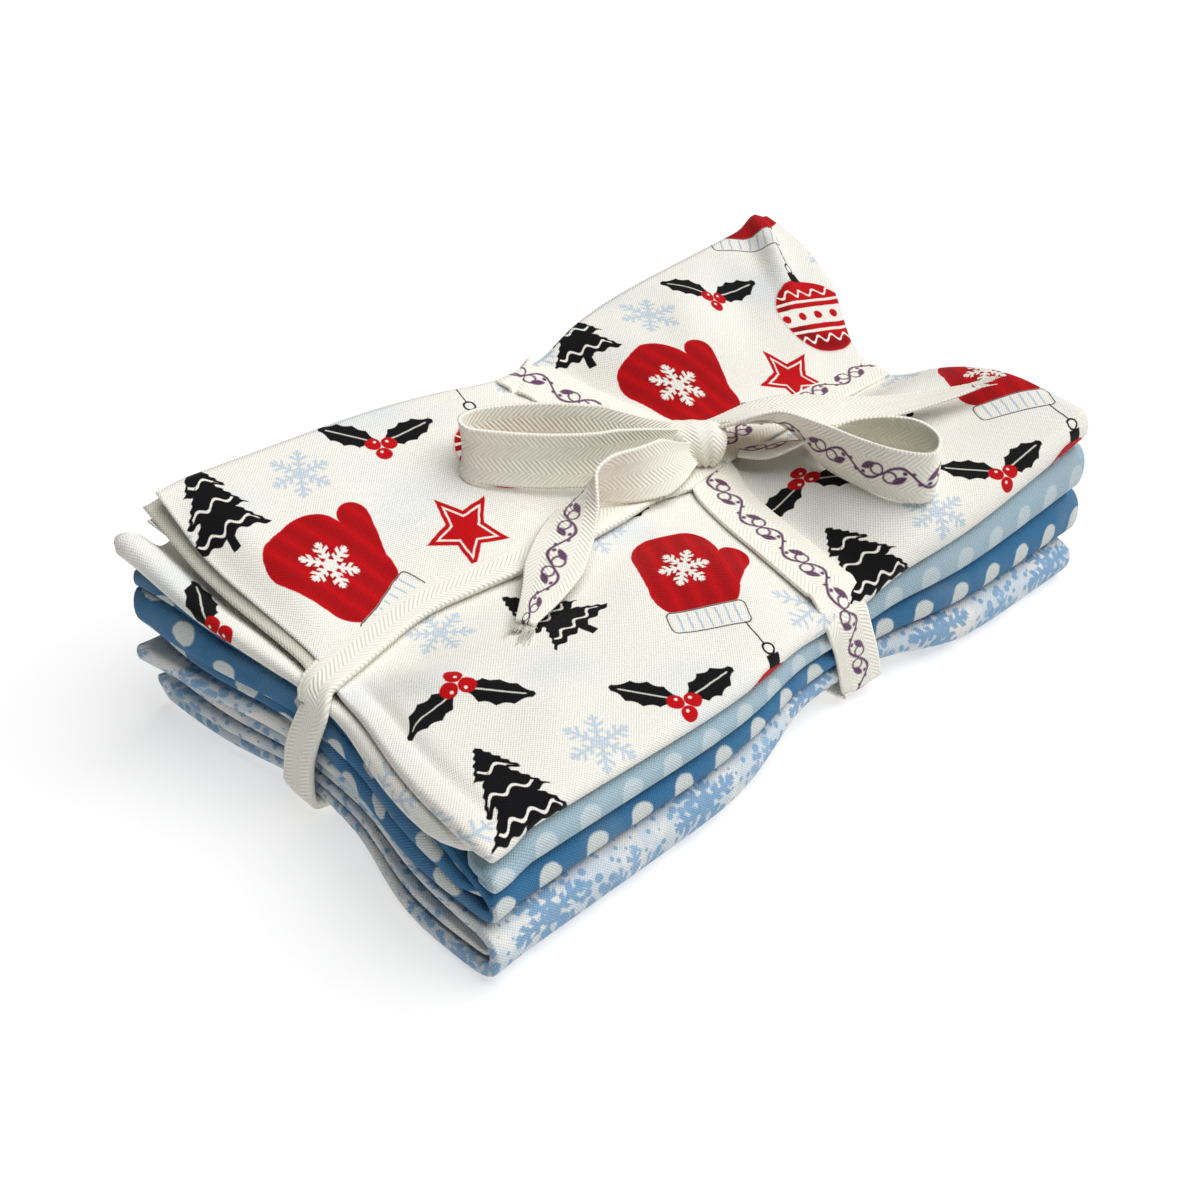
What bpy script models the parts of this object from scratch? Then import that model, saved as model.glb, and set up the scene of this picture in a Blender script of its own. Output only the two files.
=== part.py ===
"""Four folded fat quarters, stacked and tied both ways with cotton tape in a bow.

X runs along the long side, Y across it and Z up. The origin is the middle of the base.
The long folds of the cloth face -Y. Sizes in the tables are in millimetres.
"""

import math

import bmesh
import bpy
import numpy as np
from mathutils import Vector

MM = 0.001

# The bundle's plan, from the middle to the ends and to the long sides
HALF_LENGTH = 117.0
HALF_WIDTH = 67.0

# Moves the bundle so that its box is centred on the origin
TO_CENTRE = (2.0, 1.4, 0.0)

# Cloth: one sheet stands for a quarter's two thicknesses, and its four layers lie a little apart
SHEET = 1.0
REST_GAP = 0.25
ON_FLOOR = 0.05
LAYERS = 4
OUTER_FOLD_DEPTH = 4.6
INNER_FOLD_SETBACK = 2.2
INNER_FOLD_DEPTH = 1.3
BACK_FOLD_DEPTH = 1.2

# Tape
TAPE_WIDTH = 16.0
TAPE_THICK = 1.0
TAPE_GAP = 0.3
KNOT_TAPE_WIDTH = 8.0

# Height of the floor side and of each cloth's top, at the corners, at the straps and where they cross
# end (-1 left, 0 cross strap, 1 right), side (-1 front, 0 long strap, 1 back)
HEIGHTS = {
    # (end, side): (floor, lace, mid_blue, pale_blue, winter)
    (-1, -1): (0.0, 14.0, 23.5, 33.0, 38.5),
    (-1, 0): (3.4, 16.0, 25.0, 32.0, 40.5),
    (-1, 1): (0.0, 24.0, 37.5, 45.0, 64.0),
    (0, -1): (6.5, 13.2, 19.9, 26.8, 33.8),
    (0, 0): (3.8, 12.5, 22.0, 32.0, 43.5),
    (0, 1): (3.4, 15.5, 28.5, 42.0, 57.0),
    (1, -1): (0.0, 10.5, 26.0, 42.0, 52.0),
    (1, 0): (3.4, 14.0, 25.0, 35.0, 44.5),
    (1, 1): (0.0, 14.5, 29.0, 45.0, 72.5),
}
# How far each quarter of the top swells between the straps, and how much of it each level takes
SWELL = {(-1, -1): 3.0, (-1, 1): 3.0, (1, -1): 7.0, (1, 1): 7.0}
SWELL_SHARE = (0.0, 0.2, 0.45, 0.7, 1.0)
STRIP_HALF = 8.5
TROUGH_WIDTH = 12.0

# Where the cloth's mesh has its rows: at places in plan, or at offsets beside the strap
STATIONS = (
    ("plan", -102.0),
    ("plan", -52.0),
    ("strap", -18.0),
    ("strap", -STRIP_HALF),
    ("strap", STRIP_HALF),
    ("strap", 18.0),
    ("plan", 66.0),
    ("plan", 104.0),
)
STOPS = (
    ("plan", -42.0),
    ("strap", -18.0),
    ("strap", -STRIP_HALF),
    ("strap", STRIP_HALF),
    ("strap", 18.0),
    ("plan", 36.0),
    ("plan", 57.0),
)

# The straps' middle lines in plan
CROSS_STRAP = {  # y: x
    -67.0: 10.5,
    -38.0: 14.5,
    -9.0: 19.5,
    9.0: 27.0,
    30.0: 21.0,
    67.0: 13.0,
}
LONG_STRAP = {-117.0: -1.0, -102.0: 2.0, -52.0: 4.5, 0.0: 2.5, 27.0: 8.0, 117.0: 9.0}
# The straps lift the base off the floor over this half width, at the front, the middle and the back
CROSS_LIFT_WIDTHS = (46.0, 30.0, 30.0)
LONG_LIFT_WIDTH = 28.0
# The straps draw the sides in by these depths, over these half widths
CROSS_PINCH, CROSS_PINCH_WIDTH = 6.5, 28.0
LONG_PINCH, LONG_PINCH_WIDTH = 5.0, 24.0

# How the straps turn down at each end of the bundle: bend's start inward of the face, and its drop
TOP_BENDS = {"front": (1.3, 3.0), "back": (0.55, 0.5), "left": (4.0, 3.0), "right": (0.55, 0.5)}
BASE_BEND = (1.3, 2.0)

# Ends of each cloth's four layers, from its top layer down, past the plan's ends
CLOTHS = {
    # name: (level, left ends, right ends, front overhang, hex colour)
    "cloth_lace": (0, (4.0, 6.0, 5.5, 4.5), (-3.0, -4.0, -3.5, -4.5), 3.0, "E9ECEE"),
    "cloth_mid_blue": (1, (4.0, 5.5, 6.0, 5.0), (0.5, -1.0, -0.5, 0.0), 0.6, "3F7CA8"),
    "cloth_pale_blue": (2, (-6.0, -7.0, -7.0, -6.0), (-1.5, -2.5, -2.0, -2.5), 0.6, "BFD3DC"),
    "cloth_winter": (3, (-4.0, 4.5, 4.0, 2.0), (-2.0, -3.5, -4.5, -3.0), -0.5, "F4F1EA"),
}
TAPE_COLOUR = "F3EFE2"

# Knot: centre height over the cloth, and its half sizes
KNOT_X, KNOT_Y = 27.5, 8.5
KNOT_SIZE = (8.0, 6.5, 5.5)
KNOT_FLAT = 0.8

# The bow's runs of tape. roll is 0 where the tape lies flat and 90 where it stands on its edge.
# x, y, z, roll
LEFT_LOOP = (
    (19.5, 9.3, 52.5, 75.0),
    (7.0, 9.3, 54.8, 82.0),
    (-8.0, 11.5, 56.5, 84.0),
    (-21.0, 17.0, 58.5, 85.0),
    (-33.0, 24.0, 61.0, 86.0),
    (-40.5, 30.5, 63.0, 88.0),
    (-39.0, 35.5, 64.0, 90.0),
    (-31.0, 35.5, 63.6, 92.0),
    (-18.0, 30.5, 62.0, 94.0),
    (-5.0, 23.0, 59.5, 96.0),
    (8.0, 16.5, 56.0, 98.0),
    (20.7, 13.0, 52.8, 100.0),
)
RIGHT_LOOP = (
    (32.0, 4.8, 54.6, 15.0),
    (38.0, -4.0, 58.5, 20.0),
    (40.5, -14.0, 59.0, 50.0),
    (40.5, -26.0, 57.2, 75.0),
    (41.5, -38.0, 56.2, 82.0),
    (44.0, -49.0, 55.8, 85.0),
    (49.5, -56.0, 55.6, 88.0),
    (56.0, -53.0, 57.0, 92.0),
    (57.0, -43.5, 58.3, 95.0),
    (52.0, -31.0, 57.6, 120.0),
    (45.0, -18.0, 53.0, 155.0),
    (39.5, -8.0, 48.5, 178.0),
    (35.5, -0.5, 46.5, 180.0),
)
TAIL_FRONT = (
    (20.2, 4.4, 49.8, 60.0),
    (9.0, 1.5, 52.2, 65.0),
    (-3.0, 2.0, 53.6, 80.0),
    (-13.0, 5.0, 54.6, 100.0),
    (-20.5, 6.0, 53.2, 130.0),
    (-29.0, 2.5, 49.8, 160.0),
    (-40.0, -4.5, 47.5, 180.0),
    (-52.0, -11.5, 44.5, 180.0),
    (-64.0, -17.5, 43.2, 180.0),
)
TAIL_RIGHT = (
    (33.0, 12.6, 53.0, 40.0),
    (43.0, 13.0, 55.0, 35.0),
    (54.0, 8.0, 55.0, 30.0),
    (66.0, -2.0, 54.0, 30.0),
    (78.0, -13.0, 55.0, 28.0),
    (90.0, -22.0, 56.5, 25.0),
    (101.0, -30.0, 58.5, 22.0),
)
RIBBON_STEPS = 3
GATHER = 0.12
TIP_START = 0.72
TIP_WIDTH = 0.25


def lines(table):
    """The columns of a {where: value} table as two arrays."""
    return np.array(list(table)), np.array(list(table.values()))


def cross_strap_x(y):
    where, values = lines(CROSS_STRAP)
    return float(np.interp(y, where, values))


def long_strap_y(x):
    where, values = lines(LONG_STRAP)
    return float(np.interp(x, where, values))


def from_straps(x, y):
    """Distance of a plan point from each strap, and the same as a share of the way to the side."""
    strap_x, strap_y = cross_strap_x(y), long_strap_y(x)
    dx, dy = x - strap_x, y - strap_y
    along = dx / (HALF_LENGTH - strap_x if dx > 0 else HALF_LENGTH + strap_x)
    across = dy / (HALF_WIDTH - strap_y if dy > 0 else HALF_WIDTH + strap_y)
    return dx, dy, along, across


def bell(t):
    return max(0.0, 1.0 - t * t) ** 2


def beside(distance):
    """How far a point lies past the flat strip under a strap."""
    return max(abs(distance) - STRIP_HALF, 0.0)


def floor_height(x, y):
    """Underside of the bundle: flat on the floor, lifted where the straps pass below."""
    dx, dy, along, across = from_straps(x, y)
    cross_lift = np.interp(across, (-1, 0, 1), [HEIGHTS[0, side][0] for side in (-1, 0, 1)])
    long_lift = np.interp(along, (-1, 0, 1), [HEIGHTS[end, 0][0] for end in (-1, 0, 1)])
    width = np.interp(across, (-1.0, -0.6, 1.0), CROSS_LIFT_WIDTHS)
    lifts = (cross_lift * bell(beside(dx) / width), long_lift * bell(beside(dy) / LONG_LIFT_WIDTH))
    return float(max(lifts))


def level_height(level, x, y):
    """Height of the underside (level 0) or of the top of cloth number level, at a plan point."""
    if level == 0:
        return floor_height(x, y)
    dx, dy, along, across = from_straps(x, y)
    end, side = (1 if dx >= 0 else -1), (1 if dy >= 0 else -1)
    a, b = min(abs(along), 1.1), min(abs(across), 1.1)
    height = (
        (1 - a) * (1 - b) * HEIGHTS[0, 0][level]
        + a * (1 - b) * HEIGHTS[end, 0][level]
        + (1 - a) * b * HEIGHTS[0, side][level]
        + a * b * HEIGHTS[end, side][level]
    )
    trough = 1.0
    for distance in (dx, dy):
        trough *= 1 - math.exp(-((beside(distance) / TROUGH_WIDTH) ** 2))
    droop = 1 - 3 * max(b - 0.6, 0.0) ** 2
    return height + SWELL[end, side] * SWELL_SHARE[level] * trough * droop


def drawn_in(x, y):
    """The plan point after the straps have drawn the sides in."""
    dx, dy, along, across = from_straps(x, y)
    in_y = CROSS_PINCH * math.exp(-((beside(dx) / CROSS_PINCH_WIDTH) ** 2)) * across**3
    in_x = LONG_PINCH * math.exp(-((beside(dy) / LONG_PINCH_WIDTH) ** 2)) * along**3
    return x - in_x, y - in_y


def station_x(station, y):
    kind, value = station
    return cross_strap_x(y) + value if kind == "strap" else value


def stop_y(stop, x):
    kind, value = stop
    return long_strap_y(x) + value if kind == "strap" else value


def plan_point(station, stop):
    """Where a row along the bundle meets a row across it, before the straps draw it in."""
    y = stop_y(stop, station_x(station, 0.0))
    return station_x(station, y), y


def fold(centre, depth, shares, layers, steps):
    """The rows of one turn of the cloth, from one layer to another."""
    rows = []
    for i in range(1, steps):
        angle = math.pi * i / steps
        part = (1 - math.cos(angle)) / 2
        share = shares[0] + (shares[1] - shares[0]) * part
        layer = layers[0] + (layers[1] - layers[0]) * part
        rows.append((("plan", centre + depth * math.sin(angle)), share, layer))
    return rows


def section(front, back):
    """The back-and-forth path of one cloth, as rows of stop, share of the height and layer.

    It starts at the top layer's raw back edge. Share 0 is the lowest layer and 1 the highest.
    """
    turn = front + OUTER_FOLD_DEPTH
    inner_turn = front + INNER_FOLD_SETBACK + INNER_FOLD_DEPTH
    back_turn = back - BACK_FOLD_DEPTH
    third = 1.0 / (LAYERS - 1)

    def run(start, end, share, layer):
        stops = STOPS if start < end else STOPS[::-1]
        return [(stop, share, layer) for stop in (("plan", start), *stops, ("plan", end))]

    path = run(back, turn, 1.0, 0)
    path += fold(turn, -OUTER_FOLD_DEPTH, (1.0, 0.0), (0, 3), 6)
    path += run(turn, back_turn, 0.0, 3)
    path += fold(back_turn, BACK_FOLD_DEPTH, (0.0, third), (3, 2), 3)
    path += run(back_turn, inner_turn, third, 2)
    path += fold(inner_turn, -INNER_FOLD_DEPTH, (third, 1 - third), (2, 1), 3)
    path += run(inner_turn, back - BACK_FOLD_DEPTH, 1 - third, 1)
    return path


def cloth_point(level, x, y, share):
    """A point on the middle of a layer of cloth number level + 1."""
    low = level_height(level, x, y) + SHEET / 2 + (REST_GAP if level else 0.0)
    high = level_height(level + 1, x, y) - SHEET / 2 - REST_GAP
    return Vector((*drawn_in(x, y), low + share * (high - low)))


def thicken(path, thickness):
    """The two sides of a path in a plane across X, each half the thickness from it."""
    first, second = [], []
    for i, point in enumerate(path):
        before, after = path[max(i - 1, 0)], path[min(i + 1, len(path) - 1)]
        way = Vector((0.0, after.y - before.y, after.z - before.z)).normalized()
        normal = Vector((0.0, -way.z, way.y))
        first.append(point + normal * thickness / 2)
        second.append(point - normal * thickness / 2)
    return first, second


def solid_from_sections(name, sections, colour):
    """One closed body from a row of sections, each a pair of equally long sides of points."""
    mesh = bmesh.new()
    rings = [[[new_vert(mesh, point) for point in side] for side in pair] for pair in sections]
    last = len(rings[0][0]) - 1
    for this, following in zip(rings, rings[1:]):
        for j in range(last):
            for side in (0, 1):
                a, b = this[side], following[side]
                for face in halves(a[j], a[j + 1], b[j + 1], b[j]):
                    mesh.faces.new(face)
        for j in (0, last):
            mesh.faces.new((this[0][j], this[1][j], following[1][j], following[0][j]))
    for ring in (rings[0], rings[-1]):
        for j in range(last):
            mesh.faces.new((ring[0][j], ring[0][j + 1], ring[1][j + 1], ring[1][j]))
    return finish(name, mesh, colour)


def halves(a, b, c, d):
    """A quad as two triangles, split the way that rises most in plan, so that neighbours match."""

    def rise(start, end):
        way = end.co - start.co
        return way.x * way.y

    if rise(a, c) > rise(b, d):
        return (a, b, c), (a, c, d)
    return (a, b, d), (b, c, d)


def new_vert(mesh, point):
    """A vertex in metres, set on the floor where it lies within ON_FLOOR of it."""
    place = point + Vector(TO_CENTRE)
    if abs(place.z) < ON_FLOOR:
        place.z = 0.0
    return mesh.verts.new(place * MM)


def finish(name, mesh, colour):
    """A named object with its own material, from a bmesh."""
    bmesh.ops.recalc_face_normals(mesh, faces=mesh.faces)
    data = bpy.data.meshes.new(name)
    mesh.to_mesh(data)
    mesh.free()
    data.materials.append(cotton(name, colour))
    piece = bpy.data.objects.new(name, data)
    bpy.context.scene.collection.objects.link(piece)
    return piece


def cotton(name, colour):
    """A matt woven cotton in one sRGB hex colour."""
    material = bpy.data.materials.new(name)
    material.use_nodes = True
    shader = material.node_tree.nodes["Principled BSDF"]
    srgb = [int(colour[i : i + 2], 16) / 255 for i in (0, 2, 4)]
    linear = [c / 12.92 if c <= 0.04045 else ((c + 0.055) / 1.055) ** 2.4 for c in srgb]
    shader.inputs["Base Color"].default_value = (*linear, 1.0)
    shader.inputs["Roughness"].default_value = 0.9
    shader.inputs["Metallic"].default_value = 0.0
    return material


def folded_cloth(name, level, left, right, overhang, colour):
    """One fat quarter, folded back and forth and laid on the ones below."""
    sections = []
    path = section(-HALF_WIDTH, HALF_WIDTH)
    for station in (("end", left), *STATIONS, ("end", right)):
        middle = []
        for stop, share, layer in path:
            if station[0] == "end":
                side = -1 if station[1] is left else 1
                past = float(np.interp(layer, range(LAYERS), station[1]))
                x, y = side * (HALF_LENGTH + past), stop_y(stop, side * HALF_LENGTH)
            else:
                x, y = plan_point(station, stop)
            point = cloth_point(level, x, y, share)
            clear = 1 - math.exp(-((beside(x - cross_strap_x(y)) / CROSS_PINCH_WIDTH) ** 2))
            past_turn = max(0.0, (-HALF_WIDTH + OUTER_FOLD_DEPTH + 1.0 - y) / OUTER_FOLD_DEPTH)
            point.y -= overhang * clear * min(past_turn, 1.0)
            middle.append(point)
        sections.append(thicken(middle, SHEET))
    return solid_from_sections(name, sections, colour)


def ribbon(name, centres, widths, colour):
    """A run of tape along points, with a vector across it at each."""
    sections = []
    for i, (centre, across) in enumerate(zip(centres, widths)):
        before, after = centres[max(i - 1, 0)], centres[min(i + 1, len(centres) - 1)]
        normal = (after - before).cross(across).normalized() * TAPE_THICK / 2
        edges = (centre - across / 2, centre + across / 2)
        sections.append(([e + normal for e in edges], [e - normal for e in edges]))
    return solid_from_sections(name, sections, colour)


def smooth_rows(table, steps):
    """The rows of a table joined by a smooth curve, with steps points for each gap."""
    rows = [np.array(row) for row in table]
    padded = [2 * rows[0] - rows[1]] + rows + [2 * rows[-1] - rows[-2]]
    result = []
    for a, b, c, d in zip(padded, padded[1:], padded[2:], padded[3:]):
        for t in np.arange(steps) / steps:
            bend = (2 * a - 5 * b + 4 * c - d) * t**2 + (3 * b - a - 3 * c + d) * t**3
            result.append(b + ((c - a) * t + bend) / 2)
    result.append(rows[-1])
    return result


def bow_run(name, table, tapered=False):
    """A loop or a tail of the bow."""
    rows = smooth_rows(table, RIBBON_STEPS)
    centres = [Vector(row[:3]) for row in rows]
    widths = []
    for i, row in enumerate(rows):
        way = centres[min(i + 1, len(rows) - 1)] - centres[max(i - 1, 0)]
        level = way.cross(Vector((0, 0, 1))).normalized()
        upright = level.cross(way).normalized()
        roll = math.radians(row[3])
        share = i / (len(rows) - 1)
        from_knot = share if tapered else min(share, 1 - share)
        width = np.interp(from_knot, (0.0, GATHER), (KNOT_TAPE_WIDTH, TAPE_WIDTH))
        if tapered:
            width *= np.interp(share, (TIP_START, 1.0), (1.0, TIP_WIDTH))
        widths.append((level * math.cos(roll) + upright * math.sin(roll)) * width)
    return ribbon(name, centres, widths, TAPE_COLOUR)


def strap_rows(level, places, edge_at, off):
    """Centre and cross vector of a strap at rows of the mesh, off the cloth by a distance."""
    rows = []
    for place in places:
        edges = []
        for side in (-STRIP_HALF, STRIP_HALF):
            x, y = edge_at(place, side)
            edges.append(Vector((*drawn_in(x, y), level_height(level, x, y) + off)))
        rows.append(((edges[0] + edges[1]) / 2, (edges[1] - edges[0]).normalized() * TAPE_WIDTH))
    return rows


def strap(name, axis, edge_at, places, knot_at, ends, under):
    """A strap from the knot over the top, down one end, below, up the other end and back to the knot.

    axis is the way it runs, 0 for X and 1 for Y. ends gives the name and the outer face of each end.
    """
    off = TAPE_GAP + TAPE_THICK / 2
    tops = strap_rows(len(CLOTHS), places, edge_at, off)
    unders = strap_rows(0, places, edge_at, -off - under)
    knots = strap_rows(len(CLOTHS), knot_at, edge_at, off)

    def turn(index, side):
        end, face = ends[index]
        outer = face + side * off
        inward, drop = TOP_BENDS[end]
        high, low = tops[-index][0], unders[-index][0]
        bends = (
            (high.z, inward),
            (high.z - drop, 0.0),
            (low.z + BASE_BEND[1], 0.0),
            (low.z, BASE_BEND[0]),
        )
        rows = []
        for height, inset in bends:
            point = Vector(high)
            point[axis], point.z = outer - side * inset, height
            rows.append((point, unders[-index][1]))
        return rows

    near = KNOT_TAPE_WIDTH / 2
    start = [row for row in tops if row[0][axis] < knots[0][0][axis] - near]
    rest = [row for row in tops if row[0][axis] > knots[1][0][axis] + near]
    knots = [(centre, across * KNOT_TAPE_WIDTH / TAPE_WIDTH) for centre, across in knots]
    rows = [knots[0], *start[::-1], *turn(0, -1), *unders, *turn(1, 1)[::-1], *rest[::-1], knots[1]]
    return ribbon(name, [row[0] for row in rows], [row[1] for row in rows], TAPE_COLOUR)


def cross_strap():
    """The strap across the bundle. It passes below the other one."""

    def edge_at(stop, side):
        y = stop_y(stop, station_x(("strap", 0.0), 0.0))
        return cross_strap_x(y) + side, y

    places = (("plan", OUTER_FOLD_DEPTH - HALF_WIDTH), *STOPS, ("plan", HALF_WIDTH))
    knot_at = [("plan", KNOT_Y + side * (KNOT_SIZE[1] + TAPE_GAP)) for side in (-1, 1)]
    front, back = (drawn_in(cross_strap_x(y), y)[1] for y in (-HALF_WIDTH, HALF_WIDTH))
    ends = (("front", front - SHEET / 2), ("back", back + SHEET / 2))
    strap("strap_cross", 1, edge_at, places, knot_at, ends, TAPE_THICK + TAPE_GAP)


def long_strap():
    """The strap along the bundle."""

    def edge_at(station, side):
        x = station_x(station, long_strap_y(station_x(station, 0.0)))
        return x, long_strap_y(x) + side

    top_left, top_right = CLOTHS["cloth_winter"][1][0], CLOTHS["cloth_winter"][2][0]
    places = (("plan", -HALF_LENGTH - top_left), *STATIONS, ("plan", HALF_LENGTH + top_right))
    knot_at = [("plan", KNOT_X + side * (KNOT_SIZE[0] + TAPE_GAP)) for side in (-1, 1)]
    left = -HALF_LENGTH - max(max(row[1]) for row in CLOTHS.values())
    right = HALF_LENGTH + max(max(row[2]) for row in CLOTHS.values())
    faces = [drawn_in(x, long_strap_y(x))[0] for x in (left, right)]
    strap("strap_long", 0, edge_at, places, knot_at, tuple(zip(("left", "right"), faces)), 0.0)


def knot():
    """The knot where the straps and the bow meet: a rounded lump, flat below."""
    mesh = bmesh.new()
    bmesh.ops.create_uvsphere(mesh, u_segments=16, v_segments=10, radius=1.0)
    size = Vector(KNOT_SIZE)
    rim = [(KNOT_X + a * size.x, KNOT_Y + b * size.y) for a, b in ((1, 0), (0, 1), (-1, 0), (0, -1))]
    base = max(level_height(len(CLOTHS), x, y) for x, y in rim) + TAPE_GAP
    centre = Vector((KNOT_X, KNOT_Y, base + KNOT_FLAT * size.z)) + Vector(TO_CENTRE)
    for vert in mesh.verts:
        vert.co.z = max(vert.co.z, -KNOT_FLAT)
        vert.co = (centre + vert.co * size) * MM
    return finish("knot", mesh, TAPE_COLOUR)


def main():
    for old in list(bpy.data.objects):
        bpy.data.objects.remove(old)
    for name, (level, left, right, overhang, colour) in CLOTHS.items():
        folded_cloth(name, level, left, right, overhang, colour)
    cross_strap()
    long_strap()
    knot()
    bow_run("bow_left", LEFT_LOOP)
    bow_run("bow_right", RIGHT_LOOP)
    bow_run("tail_front", TAIL_FRONT, tapered=True)
    bow_run("tail_right", TAIL_RIGHT, tapered=True)


main()
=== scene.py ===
"""Four folded fat quarters of quilting cotton, stacked and tied both ways with cotton tape.

X runs along the long side, Y across it and Z up. The tables are in millimetres, and TO_CENTRE moves
their plan onto the origin when a mesh is made.
"""

import ast
import math

import bpy
import numpy as np
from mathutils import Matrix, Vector


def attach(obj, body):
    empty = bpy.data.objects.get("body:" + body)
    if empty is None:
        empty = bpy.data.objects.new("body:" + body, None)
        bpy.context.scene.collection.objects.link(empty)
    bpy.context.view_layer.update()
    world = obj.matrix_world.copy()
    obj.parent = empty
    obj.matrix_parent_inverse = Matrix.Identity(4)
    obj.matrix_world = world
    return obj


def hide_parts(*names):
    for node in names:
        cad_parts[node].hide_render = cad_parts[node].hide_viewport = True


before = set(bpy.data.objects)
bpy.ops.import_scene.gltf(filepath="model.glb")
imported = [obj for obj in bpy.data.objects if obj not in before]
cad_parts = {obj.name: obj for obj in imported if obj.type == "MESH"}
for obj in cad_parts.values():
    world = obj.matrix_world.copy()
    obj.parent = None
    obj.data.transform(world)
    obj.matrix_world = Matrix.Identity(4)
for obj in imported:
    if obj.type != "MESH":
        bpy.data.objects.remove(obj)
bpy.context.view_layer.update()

bl_info = {
    "name": "Fat quarter bundle",
    "version": (1, 0, 0),
    "blender": (4, 5, 0),
    "location": "View3D > Sidebar > Bundle",
    "description": "Builds a bundle of folded quilting cottons tied with tape",
    "category": "Add Mesh",
}

MM = 0.001
TO_CENTRE = np.array((2.0, 1.4, 0.0))

# The bundle's plan, from the middle to the ends and to the long sides
HALF_LENGTH = 117.0
HALF_WIDTH = 67.0
OUTER_FOLD_DEPTH = 4.6
INNER_FOLD_SETBACK = 2.2
INNER_FOLD_DEPTH = 1.3
BACK_FOLD_DEPTH = 1.2
REST_GAP = 0.45
FLOOR_GAP = 0.3
# Half the strip under a strap that lies flat, and how wide the dip beside it is
STRIP_HALF = 8.0
TROUGH_WIDTH = 12.0

# Height of the underside and of the tops of lace, mid_blue, pale_blue and winter: in each row at
# the front, along the long strap and at the back
HEIGHTS = np.array((
    # left end
    ((0.0, 14.0, 23.5, 33.0, 38.5), (3.4, 16.0, 25.0, 32.0, 40.5), (0.0, 24.0, 37.5, 45.5, 66.0)),
    # along the cross strap
    ((6.5, 13.2, 19.9, 26.8, 33.8), (3.8, 12.5, 22.0, 32.0, 43.5), (3.4, 16.5, 30.5, 45.0, 62.0)),
    # right end
    ((0.0, 10.5, 26.0, 42.0, 52.0), (3.4, 14.0, 25.0, 35.0, 44.5), (0.0, 14.5, 29.0, 45.0, 72.5)),
))
# How far the top swells between the straps, right and left of the cross strap, and each level's
# share of that
SWELL = (7.0, 3.0)
SWELL_SHARE = (0.0, 0.2, 0.45, 0.7, 1.0)
# How much of its thickness the pale blue cloth has at the left end, where it stops short
PALE_LEFT_SHARE = 0.3

# The straps' middle lines in plan
CROSS_STRAP = {-67: 10.5, -38: 14.5, -9: 19.5, 9: 27, 30: 18, 67: 1.5}
LONG_STRAP = {-117: -2, -106: 0.5, -97: 3, -78: 7, -60: 5.5, -45: 3.5, -12: 2.5, 27: 8, 117: 9}
# How wide each strap lifts the underside, the cross strap at these shares of the way to the sides
CROSS_LIFT_PLACES, CROSS_LIFT_WIDTHS = (-1.0, -0.6, 1.0), (46.0, 30.0, 30.0)
LONG_LIFT_WIDTH = 28.0
# How far each strap draws the sides in, and how wide
CROSS_PINCH, CROSS_PINCH_WIDTH = 6.5, 28.0
LONG_PINCH, LONG_PINCH_WIDTH = 5.0, 24.0
# Height of the small puckers beside the straps
PUCKER = 0.35
# Height at which a soft fold of the top has its full size
CREASE_HEIGHT = 45.0

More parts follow.
